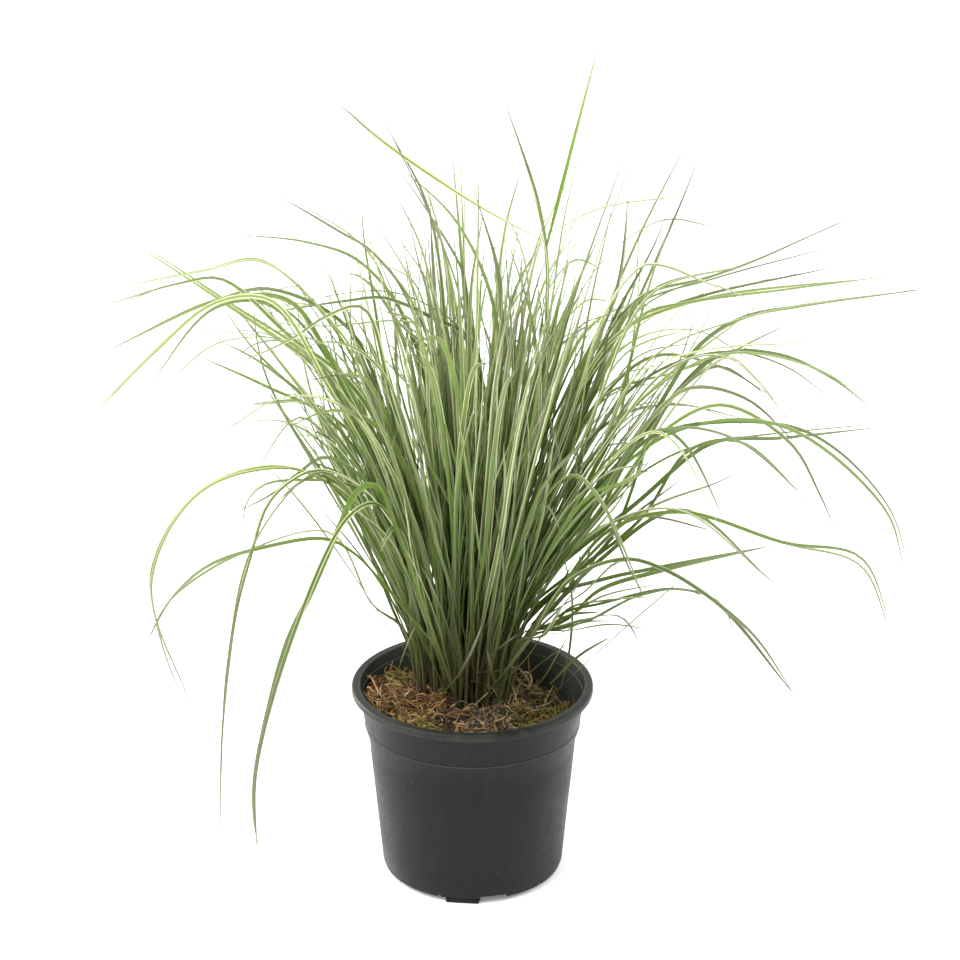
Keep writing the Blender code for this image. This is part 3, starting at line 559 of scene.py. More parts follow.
# The tall culm, the first of the inner shoots, carries three more blades well above the ground. Each is the
# share of the culm's length where it leaves, its azimuth, then its points out and up from there.
TALL_CULM = len(OUTER_SHOOTS) + len(MIDDLE_SHOOTS)
CULM_BLADES = (
    (0.783, 16, (45, 18), (112, 22)),
    (0.767, 172, (52, 27), (124, 74), (157, 102)),
    (0.75, 6, (19, 78), (38, 158)),
)

# Further thin leaves on each shoot: how many, where they leave the leaf that they part from, how much of the
# rest of it they are as long as, how far they straighten out and turn from it, and how far they sag and sway
# at the tip, as shares of their length
THIN_LEAVES = 10
THIN_WANDER = 0.016
THIN_FORK = (0.0, 0.36)
THIN_LENGTH = (0.40, 0.88)
THIN_STRAIGHTEN = (0.35, 0.95)
THIN_TURN = 27
THIN_SAG = (-0.15, 0.03)
THIN_SWAY = 0.09
THIN_LEAN = 0.15
THIN_LEAN_POWER = 1.4
THIN_WAVES = (3, 8)
THIN_WANDER_UP = 0.6
THIN_ROOT_SPREAD = 0.0012
THIN_ROOT_INWARD = 0.16
FEWEST_SAMPLES = 8
SAMPLES_AHEAD = 6

# Leaf form. Widths are across the flat blade, and the stem is the rolled sheath at its foot.
POINT_SPACING = 0.008
FEWEST_POINTS = 9
MOST_POINTS = 66
RING_POINTS = 6
ACROSS = np.array((0.0, 0.36, 0.64, 1.0, 0.64, 0.36))
STEM_ANGLES = np.radians((180, 240, 300, 0, 60, 120))
BLADE_ACROSS = np.array((-1.0, -0.28, 0.28, 1.0, 0.28, -0.28))
BLADE_LIFT = np.array((1.0, -1.0, -1.0, 1.0, -1.0, -1.0))
BLADE_SIDE = np.array((0.0, -1.0, -1.0, 0.0, 1.0, 1.0))
BLADE_THICKNESS = 0.00034
TIP_WIDTH = 0.0004
MAIN_WIDTH = (0.0021, 0.0035)
THIN_WIDTH = (0.0014, 0.0029)
STEM_WIDTH = (0.0020, 0.0038)
STEM_SHARE = (0.16, 0.32)
STEM_ENDS = (0.7, 1.1)
STEM_BLEND = 0.001
LEAST_STEM_SHARE = 0.1
STEM_THINNING = 0.4
BLADE_STARTS = 0.6
BLADE_FOOT = 0.42
FULL_WIDTH_FROM = 0.30
THICKEST_SHARE = 0.4
TAPER_FROM = 0.55
TAPER_POWER = 2.4
FOLD = (0.10, 0.42)
START_TWIST = 35
END_TWIST = 50


def polar(azimuth, out, height=0.0):
    """A point at an azimuth in degrees and a distance from the world's Z axis."""
    return Vector((out * cos(radians(azimuth)), out * sin(radians(azimuth)), height))


def on_crown(azimuth, out):
    """A root's place just under the level crown, from its azimuth and its distance in millimetres."""
    return CROWN_CENTRE + polar(azimuth, out * ROOT_SPREAD * MM, CROWN_HEIGHT - ROOT_DEPTH)


def smooth_curve(points):
    """A curve through all the points, as a Catmull-Rom spline."""
    pts = [np.array(p) for p in points]
    pts = [2 * pts[0] - pts[1]] + pts + [2 * pts[-1] - pts[-2]]
    knots = [0.0]
    for a, b in zip(pts, pts[1:]):
        knots.append(knots[-1] + np.linalg.norm(b - a) ** 0.5)
    line = []
    for k in range(1, len(pts) - 2):
        t0, t1, t2, t3 = knots[k - 1:k + 3]
        p0, p1, p2, p3 = pts[k - 1:k + 3]
        for t in np.linspace(t1, t2, SPAN_SAMPLES, endpoint=False):
            a1 = (t1 - t) / (t1 - t0) * p0 + (t - t0) / (t1 - t0) * p1
            a2 = (t2 - t) / (t2 - t1) * p1 + (t - t1) / (t2 - t1) * p2
            a3 = (t3 - t) / (t3 - t2) * p2 + (t - t2) / (t3 - t2) * p3
            b1 = (t2 - t) / (t2 - t0) * a1 + (t - t0) / (t2 - t0) * a2
            b2 = (t3 - t) / (t3 - t1) * a2 + (t - t1) / (t3 - t1) * a3
            line.append((t2 - t) / (t2 - t1) * b1 + (t - t1) / (t2 - t1) * b2)
    line.append(pts[-2])
    return np.array(line)


def evenly(line, count):
    """The same line as count points an equal length apart."""
    steps = np.linalg.norm(np.diff(line, axis=0), axis=1)
    along = np.concatenate([[0], np.cumsum(steps)])
    marks = np.linspace(0, along[-1], count)
    return np.column_stack([np.interp(marks, along, line[:, axis]) for axis in range(3)])


def length_of(line):
    """A line's length."""
    return float(np.linalg.norm(np.diff(line, axis=0), axis=1).sum())


def bend_count(line, stretch):
    """How many bends a solid leaf has, its ends among them, for a given length between them."""
    return max(FEWEST_BENDS, round(length_of(line) / stretch) + 1)


def turned_about_start(line, turn, size=1.0):
    """A line turned about the upright through its start by some degrees, and scaled from there."""
    rest = (line - line[0]) * size
    c, s = cos(radians(turn)), sin(radians(turn))
    spun = np.column_stack([rest[:, 0] * c - rest[:, 1] * s, rest[:, 0] * s + rest[:, 1] * c, rest[:, 2]])
    return line[0] + spun


def waist_between(root, bend):
    """Where a leaf passes the clump's waist on its way from its root to its first bend."""
    waist = root.lerp(bend, WAIST_SHARE * WAIST_RISE / (bend.z - root.z))
    waist.z = root.z + WAIST_RISE
    return waist


def leaf_line(root, leaf, turn=0.0):
    """A leaf's middle line from its root past the waist, turned by some degrees about the fan's axis."""
    azimuth, *bends = leaf
    points = [FAN_AXIS + polar(azimuth + turn, out * MM, up * MM) for out, up in bends]
    return smooth_curve([tuple(point) for point in [root, waist_between(root, points[0]), *points]])


def blade_line(culm, blade, turn=0.0):
    """The middle line of a blade that leaves a culm above the ground."""
    share, azimuth, *bends = blade
    fork = Vector(culm[int(share * (len(culm) - 1))])
    points = [tuple(fork)]
    points += [tuple(fork + polar(azimuth + turn, out * MM, up * MM)) for out, up in bends]
    return smooth_curve(points)


def drop_mark(line):
    """The point of a line from which it has dropped a little below its highest point, or its end."""
    top = int(line[:, 2].argmax())
    fallen = np.flatnonzero(line[top:, 2] < line[top, 2] - TWIN_DROP)
    return top + int(fallen[0]) if len(fallen) else len(line)


def twin_line(line, chance):
    """A smaller copy of a leaf from one of its bends some way up, turned to one side there.

    It ends where the leaf has dropped a little below its highest point.
    """
    bends = evenly(line, bend_count(line, LEAF_STRETCH))
    bend = bends[max(1, round(chance.uniform(*TWIN_FORK) * (len(bends) - 1)))]
    fork = int(np.linalg.norm(line - bend, axis=1).argmin())
    turn = chance.uniform(*TWIN_TURN) * chance.choice((-1, 1))
    rest = line[fork:max(drop_mark(line), fork + TWIN_MARKS)]
    return bend - line[fork] + turned_about_start(rest, turn, chance.uniform(*TWIN_SHRINK))


def clear_of(marks, others):
    """Whether a leaf keeps clear of all the others. Leaves need less room towards their tips."""
    if not len(others):
        return True
    room = LEAF_CLEARANCE * (1 - (1 - TIP_CLEARANCE_SHARE) * np.linspace(0, 1, len(marks)))
    placed = np.concatenate(others)
    for mark, need in zip(marks, room):
        if (np.abs(placed - mark).max(axis=1) < need).any():
            gaps = np.linalg.norm(placed - mark, axis=1)
            if gaps.min() < need:
                return False
    return True


def settle_leaves():
    """The lines of each shoot's leaves, as the solid shoots have them.

    Every leaf is turned about the crown until it clears the other shoots. Then each shoot gets a smaller twin
    of one of its leaves, wherever there is room for it.
    """
    shoots = [{"root": on_crown(*root), "lines": [], "marks": []} for root, *_ in SHOOTS]

    def place(shoot, lines):
        around = [marks for other in shoots if other is not shoot for marks in other["marks"]]
        stretch = TWIN_STRETCH if shoot["lines"] else LEAF_STRETCH
        for line in lines:
            solid = evenly(line, bend_count(line, stretch))
            marks = evenly(solid, max(FEWEST_MARKS, int(length_of(line) / MARK_SPACING)))
            if clear_of(marks, around):
                shoot["lines"].append(line)
                shoot["marks"].append(marks)
                return

    for shoot, (_, *leaves) in zip(shoots, SHOOTS):
        for leaf in leaves:
            place(shoot, (leaf_line(shoot["root"], leaf, turn) for turn in TURNS_TRIED))
    tall = shoots[TALL_CULM]
    culm = tall["lines"][0]
    for blade in CULM_BLADES:
        place(tall, (blade_line(culm, blade, turn) for turn in TURNS_TRIED))
    chance = Random(SEED)
    for shoot in shoots:
        for line in shoot["lines"][:TWINS_PER_SHOOT]:
            place(shoot, (twin_line(line, chance) for _ in range(TWIN_TRIES)))
    return shoots


def thin_line(line, chance):
    """A thin leaf's line: it parts from a leaf and goes on straighter than that, to one side."""
    fork = int(chance.uniform(*THIN_FORK) * (len(line) - 1))
    last = fork + max(FEWEST_SAMPLES, int(chance.uniform(*THIN_LENGTH) * (len(line) - fork)))
    made = turned_about_start(line[fork:last], chance.gauss(0, THIN_TURN))
    along = np.linspace(0, 1, len(made))
    aside = np.array((chance.gauss(0, 1), chance.gauss(0, 1), 0.0))
    inward = (np.array(CROWN_CENTRE) - line[0]) * (1, 1, 0) * chance.uniform(0, THIN_ROOT_INWARD)
    length = length_of(made)
    lean = THIN_ROOT_SPREAD + THIN_LEAN * length * along[:, None] ** THIN_LEAN_POWER
    made = made + inward + aside * lean
    ahead = made[min(SAMPLES_AHEAD, len(made) - 1)] - made[0]
    straight = made[0] + np.outer(along, ahead / np.linalg.norm(ahead) * length)
    share = chance.uniform(*THIN_STRAIGHTEN) * along[:, None]
    made = made + (straight - made) * share
    heading = made[-1] - made[0]
    aside = np.array((-heading[1], heading[0], 0.0))
    aside /= np.linalg.norm(aside) + NEXT_TO_NOTHING
    sag = chance.uniform(*THIN_SAG) * length
    sway = chance.uniform(-THIN_SWAY, THIN_SWAY) * length
    start = chance.uniform(0, 2 * pi)
    wander = np.sin(along * chance.uniform(*THIN_WAVES) + start) - sin(start)
    towards = chance.gauss(0, 1) * aside + chance.gauss(0, THIN_WANDER_UP) * UP
    wander = np.outer(wander, towards * THIN_WANDER * length)
    return made + np.outer(along ** 2, sag * UP + sway * aside) + wander


def seen_at(pixel, depth):
    """The point on the upright plane at a depth behind the pot's axis that the camera sees at a pixel."""
    right = (pixel[0] - PHOTO_SIZE / 2) / FOCAL_PIXELS
    down = (pixel[1] - PHOTO_SIZE / 2) / FOCAL_PIXELS
    pitch = radians(CAMERA_PITCH)
    ray = Vector((right, cos(pitch) - down * sin(pitch), -sin(pitch) - down * cos(pitch)))
    return CAMERA_PLACE + ray * ((depth - CAMERA_PLACE.y) / ray.y)


def traced_line(depth, pixels, rooted=True):
    """A leaf through points that the photo shows, from a root on the crown to a tip at some depth."""
    start = seen_at(pixels[0], 0)
    root = on_crown(degrees(atan2(depth, (start.x - CROWN_CENTRE.x) * TRACED_SPLAY)), TRACED_ROOT_OUT)
    lengths = [0.0]
    for a, b in zip(pixels, pixels[1:]):
        lengths.append(lengths[-1] + hypot(b[0] - a[0], b[1] - a[1]))
    near = TRACED_START_SHARE * depth
    points = [seen_at(pixel, near + (depth - near) * length / lengths[-1])
              for pixel, length in zip(pixels, lengths)]
    if rooted and points[0].z > root.z + 2 * WAIST_RISE:
        points.insert(0, waist_between(root, points[0]))
    if rooted:
        points.insert(0, root)
    return smooth_curve([tuple(point) for point in points])


def smooth_step(value, low, high):
    """0 below low, 1 above high and smooth between them."""
    share = np.clip((value - low) / (high - low), 0, 1)
    return share * share * (3 - 2 * share)


class Leaf:
    """One leaf: its middle line and the form and tint that its mesh takes."""

    def __init__(self, line, chance, main):
        self.line = line
        self.width = chance.uniform(*(MAIN_WIDTH if main else THIN_WIDTH))
        self.stem_width = chance.uniform(*STEM_WIDTH)
        rooted = line[0][2] < CROWN_HEIGHT
        self.stem_share = chance.uniform(*STEM_SHARE) if rooted else 0.0
        self.fold = chance.uniform(*FOLD)
        self.start_twist = radians(chance.gauss(0, START_TWIST))
        self.end_twist = radians(chance.gauss(0, END_TWIST))
        self.tone = chance.random()
        self.margin = chance.random()
        # A number for each leaf that sets its dried tip and picks the leaves given painted shadow
        self.dry_and_shadow = chance.random()

    def face_camera(self, chance):
        """Turn a blade that leans to one side so that the camera sees its flat side."""
        rightwards = self.line[-1][0] > self.line[0][0]
        facing = radians(chance.gauss(*TRACED_FACING))
        self.start_twist = -facing if rightwards else facing
        self.end_twist *= TRACED_TWIST

    def rings(self):
        """The leaf's points as rings, and each ring's share of the length and of the stem."""
        count = int(min(MOST_POINTS, max(FEWEST_POINTS, length_of(self.line) / POINT_SPACING)))
        points = evenly(self.line, count)
        along = np.linspace(0, 1, count)
        ahead = np.gradient(points, axis=0)
        ahead /= np.linalg.norm(ahead, axis=1)[:, None]
        heading = points[-1] - points[0]
        level = np.cross(np.array((heading[0], heading[1], 0.0)), UP)
        level /= np.linalg.norm(level) + NEXT_TO_NOTHING
        side = level - ahead * (ahead @ level)[:, None]
        side /= np.linalg.norm(side, axis=1)[:, None]
        face = np.cross(side, ahead)
        stem_start, stem_end = (self.stem_share * share for share in STEM_ENDS)
        stem = 1 - smooth_step(along, stem_start, stem_end + STEM_BLEND)
        if not self.stem_share:
            stem = np.zeros(count)
        turn = self.start_twist + self.end_twist * smooth_step(along, self.stem_share, 1.0)
        c, s = np.cos(turn)[:, None], np.sin(turn)[:, None]
        side, face = side * c + face * s, face * c - side * s
        blade_start = self.stem_share * BLADE_STARTS
        blade_along = np.clip((along - blade_start) / (1 - blade_start), 0, 1)
        grown = BLADE_FOOT + (1 - BLADE_FOOT) * smooth_step(blade_along, 0.0, FULL_WIDTH_FROM)
        tapered = 1 - np.clip((blade_along - TAPER_FROM) / (1 - TAPER_FROM), 0, 1) ** TAPER_POWER
        half = (self.width * grown * tapered + TIP_WIDTH)[:, None] / 2
        up_stem = np.clip(along / max(self.stem_share, LEAST_STEM_SHARE), 0, 1)
        stem_half = self.stem_width / 2 * (1 - STEM_THINNING * up_stem)[:, None]
        thickness = np.minimum(BLADE_THICKNESS / 2, half * THICKEST_SHARE)
        mix = stem[:, None]
        across = mix * stem_half * np.cos(STEM_ANGLES) + (1 - mix) * half * BLADE_ACROSS
        lift = mix * stem_half * np.sin(STEM_ANGLES)
        lift = lift + (1 - mix) * (half * self.fold * BLADE_LIFT + thickness * BLADE_SIDE)
        sideways = across[:, :, None] * side[:, None, :]
        rings = points[:, None, :] + sideways + lift[:, :, None] * face[:, None, :]
        return rings, along, stem


def new_object(name, data):
    """A new object in the scene."""
    made = bpy.data.objects.new(name, data)
    bpy.context.scene.collection.objects.link(made)
    return made


def finished(shape, name):
    """The mesh of a bmesh that is done with."""
    mesh = bpy.data.meshes.new(name)
    shape.to_mesh(mesh)
    shape.free()
    return mesh


def tinted_mesh(name, corners, faces, looks, smooth):
    """A mesh from arrays of corners, with its faces and four tints on each corner."""
    mesh = bpy.data.meshes.new(name)
    mesh.from_pydata(np.concatenate(corners), [], faces)
    mesh.polygons.foreach_set("use_smooth", smooth)
    tints = np.concatenate(looks).ravel()
    mesh.attributes.new("look", "FLOAT_COLOR", "POINT").data.foreach_set("color", tints)
    mesh.update()
    return mesh


def add_piece(name, mesh, finish, slot, *nodes):
    """A piece of the object, which rides with the plant and may stand for solid nodes."""
    piece = new_object(name, mesh)
    mesh.materials.append(finish)
    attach(piece, "root")
    if nodes:
        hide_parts(*nodes)


def tube_faces(start, rings, sides):
    """The faces round a tube of some rings of points, numbered on from start, then its two ends."""
    faces = []
    end = start + (rings - 1) * sides
    for ring in range(start, end, sides):
        for a in range(sides):
            b = (a + 1) % sides
            faces.append([ring + corner for corner in (a, sides + a, sides + b, b)])
    faces.append([start + k for k in range(sides)])
    faces.append([end + k for k in reversed(range(sides))])
    return faces


def leaves_mesh(name, leaves):
    """All of one shoot's leaves in one mesh, with their tints and a UV map across and along them."""
    corners, faces, across_along, looks, smooth = [], [], [], [], []
    for leaf in leaves:
        rings, along, stem = leaf.rings()
        count = len(along)
        faces += tube_faces(sum(map(len, corners)), count, RING_POINTS)
        smooth += [True] * (count - 1) * RING_POINTS + [False, False]
        corners.append(rings.reshape(-1, 3))
        across_along.append(np.column_stack([np.tile(ACROSS, count), np.repeat(along, RING_POINTS)]))
        look = np.empty((count, RING_POINTS, 4))
        look[:, :, 0] = leaf.tone
        look[:, :, 1] = leaf.margin
        look[:, :, 2] = stem[:, None]
        look[:, :, 3] = leaf.dry_and_shadow
        looks.append(look.reshape(-1, 4))
    mesh = tinted_mesh(name, corners, faces, looks, smooth)
    corner_of = np.empty(len(mesh.loops), np.int32)
    mesh.loops.foreach_get("vertex_index", corner_of)
    strip = np.concatenate(across_along)[corner_of]
    mesh.uv_layers.new(name="strip").data.foreach_set("uv", strip.ravel())
    ends = np.empty(len(mesh.edges) * 2, np.int32)
    mesh.edges.foreach_get("vertices", ends)
    ends = ends.reshape(-1, 2)
    place = ends % RING_POINTS
    lengthways = place[:, 0] == place[:, 1]
    on_blade = np.concatenate(looks)[ends[:, 0], 2] < 0.5
    blade_edge = lengthways & on_blade & (place[:, 0] % (RING_POINTS // 2) == 0)
    mesh.attributes.new("sharp_edge", "BOOLEAN", "EDGE").data.foreach_set("value", blade_edge)
    mesh.update()
    return mesh


def make_leaves(finish):
    """Each shoot's leaves with its further thin leaves, and the leaves that show outside the clump."""
    chance = Random(SEED + 1)
    for number, shoot in enumerate(settle_leaves(), 1):
        leaves = [Leaf(line, chance, True) for line in shoot["lines"]]
        from_root = [line for line in shoot["lines"] if line[0][2] < CROWN_HEIGHT]
        for _ in range(THIN_LEAVES):
            line = chance.choice(from_root)
            leaves.append(Leaf(thin_line(line[:drop_mark(line)], chance), chance, False))
        node = f"shoot_{number:02d}"
        add_piece(node + "_leaves", leaves_mesh(node + "_leaves", leaves), finish, "leaf", node)
    for side, table in TRACED_LEAVES.items():
        leaves = []
        for width, depth, *pixels in table:
            leaf = Leaf(traced_line(depth * MM, pixels), chance, True)
            leaf.width = width * MM
            leaf.stem_width = TRACED_STEM
            leaf.stem_share = TRACED_STEM_SHARE
            leaf.face_camera(chance)
            leaves.append(leaf)
        add_piece("blades_" + side, leaves_mesh("blades_" + side, leaves), finish, "leaf")
    loose = []
    for width, depth, *pixels in LOOSE_BLADES:
        leaf = Leaf(traced_line(depth * MM, pixels, False), chance, False)
        leaf.width = width * MM
        loose.append(leaf)
    add_piece("blades_loose", leaves_mesh("blades_loose", loose), finish, "leaf")


def wall_radius(height):
    """The pot wall's outer radius at a height: a flared collar over a steeper wall."""
    depth = POT_HEIGHT - height
    if depth < COLLAR_DEPTH:
        share = depth / COLLAR_DEPTH
        return COLLAR_TOP_RADIUS + (COLLAR_BASE_RADIUS - COLLAR_TOP_RADIUS) * share
    share = (depth - COLLAR_DEPTH) / (POT_HEIGHT - FLOOR_HEIGHT - COLLAR_DEPTH)
    return COLLAR_BASE_RADIUS + (WALL_BASE_RADIUS - COLLAR_BASE_RADIUS) * share


def arc(centre, radius, start, end, count):
    """Points on a round corner of a half section, from one angle to another in degrees."""
    turns = [radians(start + (end - start) * k / (count - 1)) for k in range(count)]
    return [(centre[0] + radius * cos(a), centre[1] + radius * sin(a)) for a in turns]


def pot_outline():
    """The pot's half section: up the inside from the floor's middle, over the rim and down the outside."""
    floor_top = FLOOR_HEIGHT + FLOOR_THICKNESS
    collar_base = POT_HEIGHT - COLLAR_DEPTH
    step = POT_HEIGHT - COLLAR_STEP_DEPTH
    ledge = POT_HEIGHT - INSIDE_LEDGE_DEPTH
    band_bottom = POT_HEIGHT - RIM_BAND
    inner_step = wall_radius(step) - WALL
    ledge_radius = wall_radius(ledge) - WALL
    ring_inside = RING_RADIUS - RING_WIDTH
    floor_corner = (wall_radius(floor_top) - WALL - BASE_ROUND, floor_top + BASE_ROUND)
    lip = (RIM_OPENING + LIP_ROUND, POT_HEIGHT - LIP_ROUND)
    bead = (RIM_RADIUS - BEAD_ROUND, POT_HEIGHT - BEAD_ROUND)
    under_bead = (RIM_RADIUS - BEAD_UNDER_ROUND, band_bottom + BEAD_UNDER_ROUND)
    under_rim = (COLLAR_TOP_RADIUS + UNDER_RIM_FILLET, band_bottom - UNDER_RIM_FILLET + BAND_HOLLOW[1])
    base_corner = (RING_RADIUS - BASE_ROUND, RING_HEIGHT + BASE_ROUND)
    return [
        (0, floor_top),
        *arc(floor_corner, BASE_ROUND, -90, 0, FLOOR_CORNER_POINTS),
        (wall_radius(collar_base) - WALL, collar_base),
        (inner_step, step),
        (inner_step + INSIDE_STEP[0], step + INSIDE_STEP[1]),
        (ledge_radius, ledge - INSIDE_LEDGE_SLOPE),
        (ledge_radius + INSIDE_LEDGE, ledge),
        (RIM_OPENING - LIP_LEAN, POT_HEIGHT - LIP_DEPTH),
        *arc(lip, LIP_ROUND, 180, 90, LIP_POINTS),
        *arc(bead, BEAD_ROUND, 90, 0, BEAD_POINTS),
        *arc(under_bead, BEAD_UNDER_ROUND, 0, -90, UNDER_RIM_POINTS),
        (RIM_RADIUS - BAND_HOLLOW[0], band_bottom + BAND_HOLLOW[1]),
        *arc(under_rim, UNDER_RIM_FILLET, 90, 180, UNDER_RIM_POINTS),
        *((COLLAR_STEP_RADIUS + out, step + up) for out, up in STEP_OUTLINE),
        *((COLLAR_BASE_RADIUS + out, collar_base + up) for out, up in COLLAR_FOOT_OUTLINE),
        (WALL_BASE_RADIUS, FLOOR_HEIGHT),
        *arc(base_corner, BASE_ROUND, 0, -90, BASE_CORNER_POINTS),
        (ring_inside, RING_HEIGHT),
        (ring_inside, FLOOR_HEIGHT),
        (0, FLOOR_HEIGHT),
    ]


def turned_mesh(name, outline):
    """A closed solid spun about Z from its half section."""
    shape = bmesh.new()
    corners = [shape.verts.new((r, 0, z)) for r, z in outline]
    edges = [shape.edges.new(pair) for pair in zip(corners, corners[1:])]
    bmesh.ops.spin(shape, geom=corners + edges, axis=(0, 0, 1), cent=(0, 0, 0), steps=POT_TURN_STEPS,
                   angle=2 * pi, use_merge=True)
    bmesh.ops.remove_doubles(shape, verts=shape.verts, dist=SAME_PLACE)
    bmesh.ops.dissolve_degenerate(shape, edges=shape.edges, dist=SAME_PLACE / 2)
    bmesh.ops.recalc_face_normals(shape, faces=shape.faces)
    return finished(shape, name)


def boxes_mesh(name, boxes, rounding):
    """Boxes of a radial, sideways and upright size, each at an azimuth, a distance out and a height."""
    shape = bmesh.new()
    for size, azimuth, out, height in boxes:
        box = bmesh.ops.create_cube(shape, size=1)["verts"]
        place = Matrix.Translation(polar(azimuth, out, height)) @ Matrix.Rotation(radians(azimuth), 4, "Z")
        bmesh.ops.transform(shape, matrix=place @ Matrix.Diagonal((*size, 1)), verts=box)
    bmesh.ops.bevel(shape, geom=shape.edges[:], offset=rounding, segments=2, profile=0.5, material=-1,
                    affect="EDGES")
    return finished(shape, name)


def combined(mesh, operation, tool_mesh):
    """A mesh joined with another, or with the other taken out of it."""
    target = new_object("target", mesh)
    tool = new_object("tool", tool_mesh)
    step = target.modifiers.new("combine", "BOOLEAN")
    step.operation = operation
    step.solver = "EXACT"
    step.object = tool
    bpy.context.view_layer.update()
    result = bpy.data.meshes.new_from_object(target.evaluated_get(bpy.context.evaluated_depsgraph_get()))
    for made in (target, tool):
        bpy.data.objects.remove(made)
    return result


def make_pot(finish):
    """The pot, with its rolled rim, its foot ring opened by arches and notches, and its floor by drains."""
    ring_middle = RING_RADIUS - RING_WIDTH / 2
    arch_size = (CUT_THROUGH_RING, ARCH_WIDTH, 2 * ARCH_HEIGHT)
    notch_size = (CUT_THROUGH_RING, NOTCH_WIDTH, 2 * NOTCH_HEIGHT)
    drain_size = (DRAIN_DEPTH, DRAIN_WIDTH, CUT_THROUGH_FLOOR)
    drain_out = RING_RADIUS - RING_WIDTH - DRAIN_DEPTH / 2 - DRAIN_SET_IN
    thirds = [ARCH_AZIMUTH + 120 * k for k in range(3)]
    gaps = [(arch_size, azimuth, ring_middle, 0) for azimuth in thirds]
    gaps += [(notch_size, azimuth, ring_middle, 0) for azimuth in NOTCH_AZIMUTHS]
    drains = [(drain_size, azimuth, drain_out, FLOOR_HEIGHT) for azimuth in thirds]
    feet = [(FOOT_SIZE, azimuth + FOOT_OFFSET, ring_middle, FOOT_SIZE[2] / 2) for azimuth in thirds]
    mesh = turned_mesh("pot_shell", pot_outline())
    mesh = combined(mesh, "DIFFERENCE", boxes_mesh("foot_gaps", gaps, GAP_ROUND))
    mesh = combined(mesh, "DIFFERENCE", boxes_mesh("drain_holes", drains, DRAIN_ROUND))
    mesh = combined(mesh, "UNION", boxes_mesh("feet", feet, FOOT_ROUND))
    mesh.materials.clear()
    mesh.shade_smooth()
    mesh.set_sharp_from_angle(angle=radians(POT_SHARP_ANGLE))
    add_piece("pot_shell", mesh, finish, "pot_plastic", "pot")


def soil_edge_height(azimuth):
    """The soil's height where it meets the wall: higher at the left front, low at the right back."""
    tilt = SOIL_TILT * cos(azimuth - radians(SOIL_HIGH_SIDE))
    lumps = sum(height * sin(waves * azimuth + start) for waves, height, start in SOIL_LUMPS)
    return SOIL_LEVEL + tilt + lumps


def crown_share(x, y):
    """How far out a place is from the crown's centre, as a share of the way to the crown's edge."""
    return hypot((x - CROWN_CENTRE.x) / CROWN_RADII[0], (y - CROWN_CENTRE.y) / CROWN_RADII[1])


def ground(x, y, fine=True):
    """The soil's height at a place: the level crown, the fall to the edge, and its lumps."""
    out = crown_share(x, y)
    edge = soil_edge_height(atan2(y, x))
    beyond = (out - 1) * min(CROWN_RADII)
    share = min(1.0, max(0.0, beyond / SHOULDER))
    height = CROWN_HEIGHT + (edge - CROWN_HEIGHT) * share * share * (3 - 2 * share)
    sizes = LUMP_SIZES if fine else LUMP_SIZES[:-1]
    return height + sum(rise * noise.noise(Vector((x, y, size)) / size) for size, rise in sizes)


def make_soil(finish):
    """The bed of soil: a lumpy top on sides that follow the wall to the pot's floor."""
    floor_top = FLOOR_HEIGHT + FLOOR_THICKNESS + SOIL_WALL_GAP
    shape = bmesh.new()
    bmesh.ops.create_grid(shape, x_segments=SOIL_GRID, y_segments=SOIL_GRID, size=1)
    for vert in shape.verts:
        x, y = vert.co.x, vert.co.y
        round_x = x * (1 - y * y / 2) ** 0.5
        round_y = y * (1 - x * x / 2) ** 0.5
        azimuth = atan2(round_y, round_x)
        reach = wall_radius(soil_edge_height(azimuth)) - WALL - SOIL_WALL_GAP
        x, y = round_x * reach, round_y * reach
        vert.co = Vector((x, y, ground(x, y)))
    rim = [edge for edge in shape.edges if edge.is_boundary]
    for height in (POT_HEIGHT - COLLAR_DEPTH, floor_top):
        grown = bmesh.ops.extrude_edge_only(shape, edges=rim)["geom"]
        rim = [item for item in grown if isinstance(item, bmesh.types.BMEdge)]
        for vert in {vert for edge in rim for vert in edge.verts}:
            reach = wall_radius(height) - WALL - SOIL_WALL_GAP
            flat = Vector((vert.co.x, vert.co.y, 0)).normalized() * reach
            vert.co = Vector((flat.x, flat.y, height))
    bmesh.ops.holes_fill(shape, edges=rim, sides=0)
    bmesh.ops.recalc_face_normals(shape, faces=shape.faces)
    for face in shape.faces:
        face.smooth = True
    add_piece("soil_bed", finished(shape, "soil_bed"), finish, "soil", "soil")


def strand(chance, place, rise, form):
    """A strand's place, heading, rise, length, thickness, curl and droop, its tint and its own seed."""
    lengths, thicknesses, curl, droop = form
    return (place, chance.uniform(0, 360), rise(), chance.uniform(*lengths), chance.uniform(*thicknesses),
            chance.gauss(0, curl), droop, chance.random(), chance.random())


def strand_line(chance, place, heading, rise, length, thickness, curl, droop):
    """The points that a strand passes. It stays over the soil and inside the pot's wall."""
    count = FEWEST_STRAND_POINTS + int(length / STRAND_STEP)
    step = length / (count - 1)
    line = [np.array(place, float)]
    for _ in range(count - 1):
        heading += chance.gauss(curl, abs(curl) * STRAND_WANDER[0] + STRAND_WANDER[1])
        rise += chance.gauss(-droop, STRAND_LIFT)
        flat = cos(radians(rise)) * step
        ahead = (flat * cos(radians(heading)), flat * sin(radians(heading)), step * sin(radians(rise)))
        at = line[-1] + ahead
        out = hypot(at[0], at[1])
        reach = wall_radius(min(at[2], POT_HEIGHT)) - WALL - thickness
        if out > reach:
            at[:2] *= reach / out
        at[2] = max(at[2], ground(at[0], at[1], False) - thickness)
        line.append(at)
    return np.array(line)


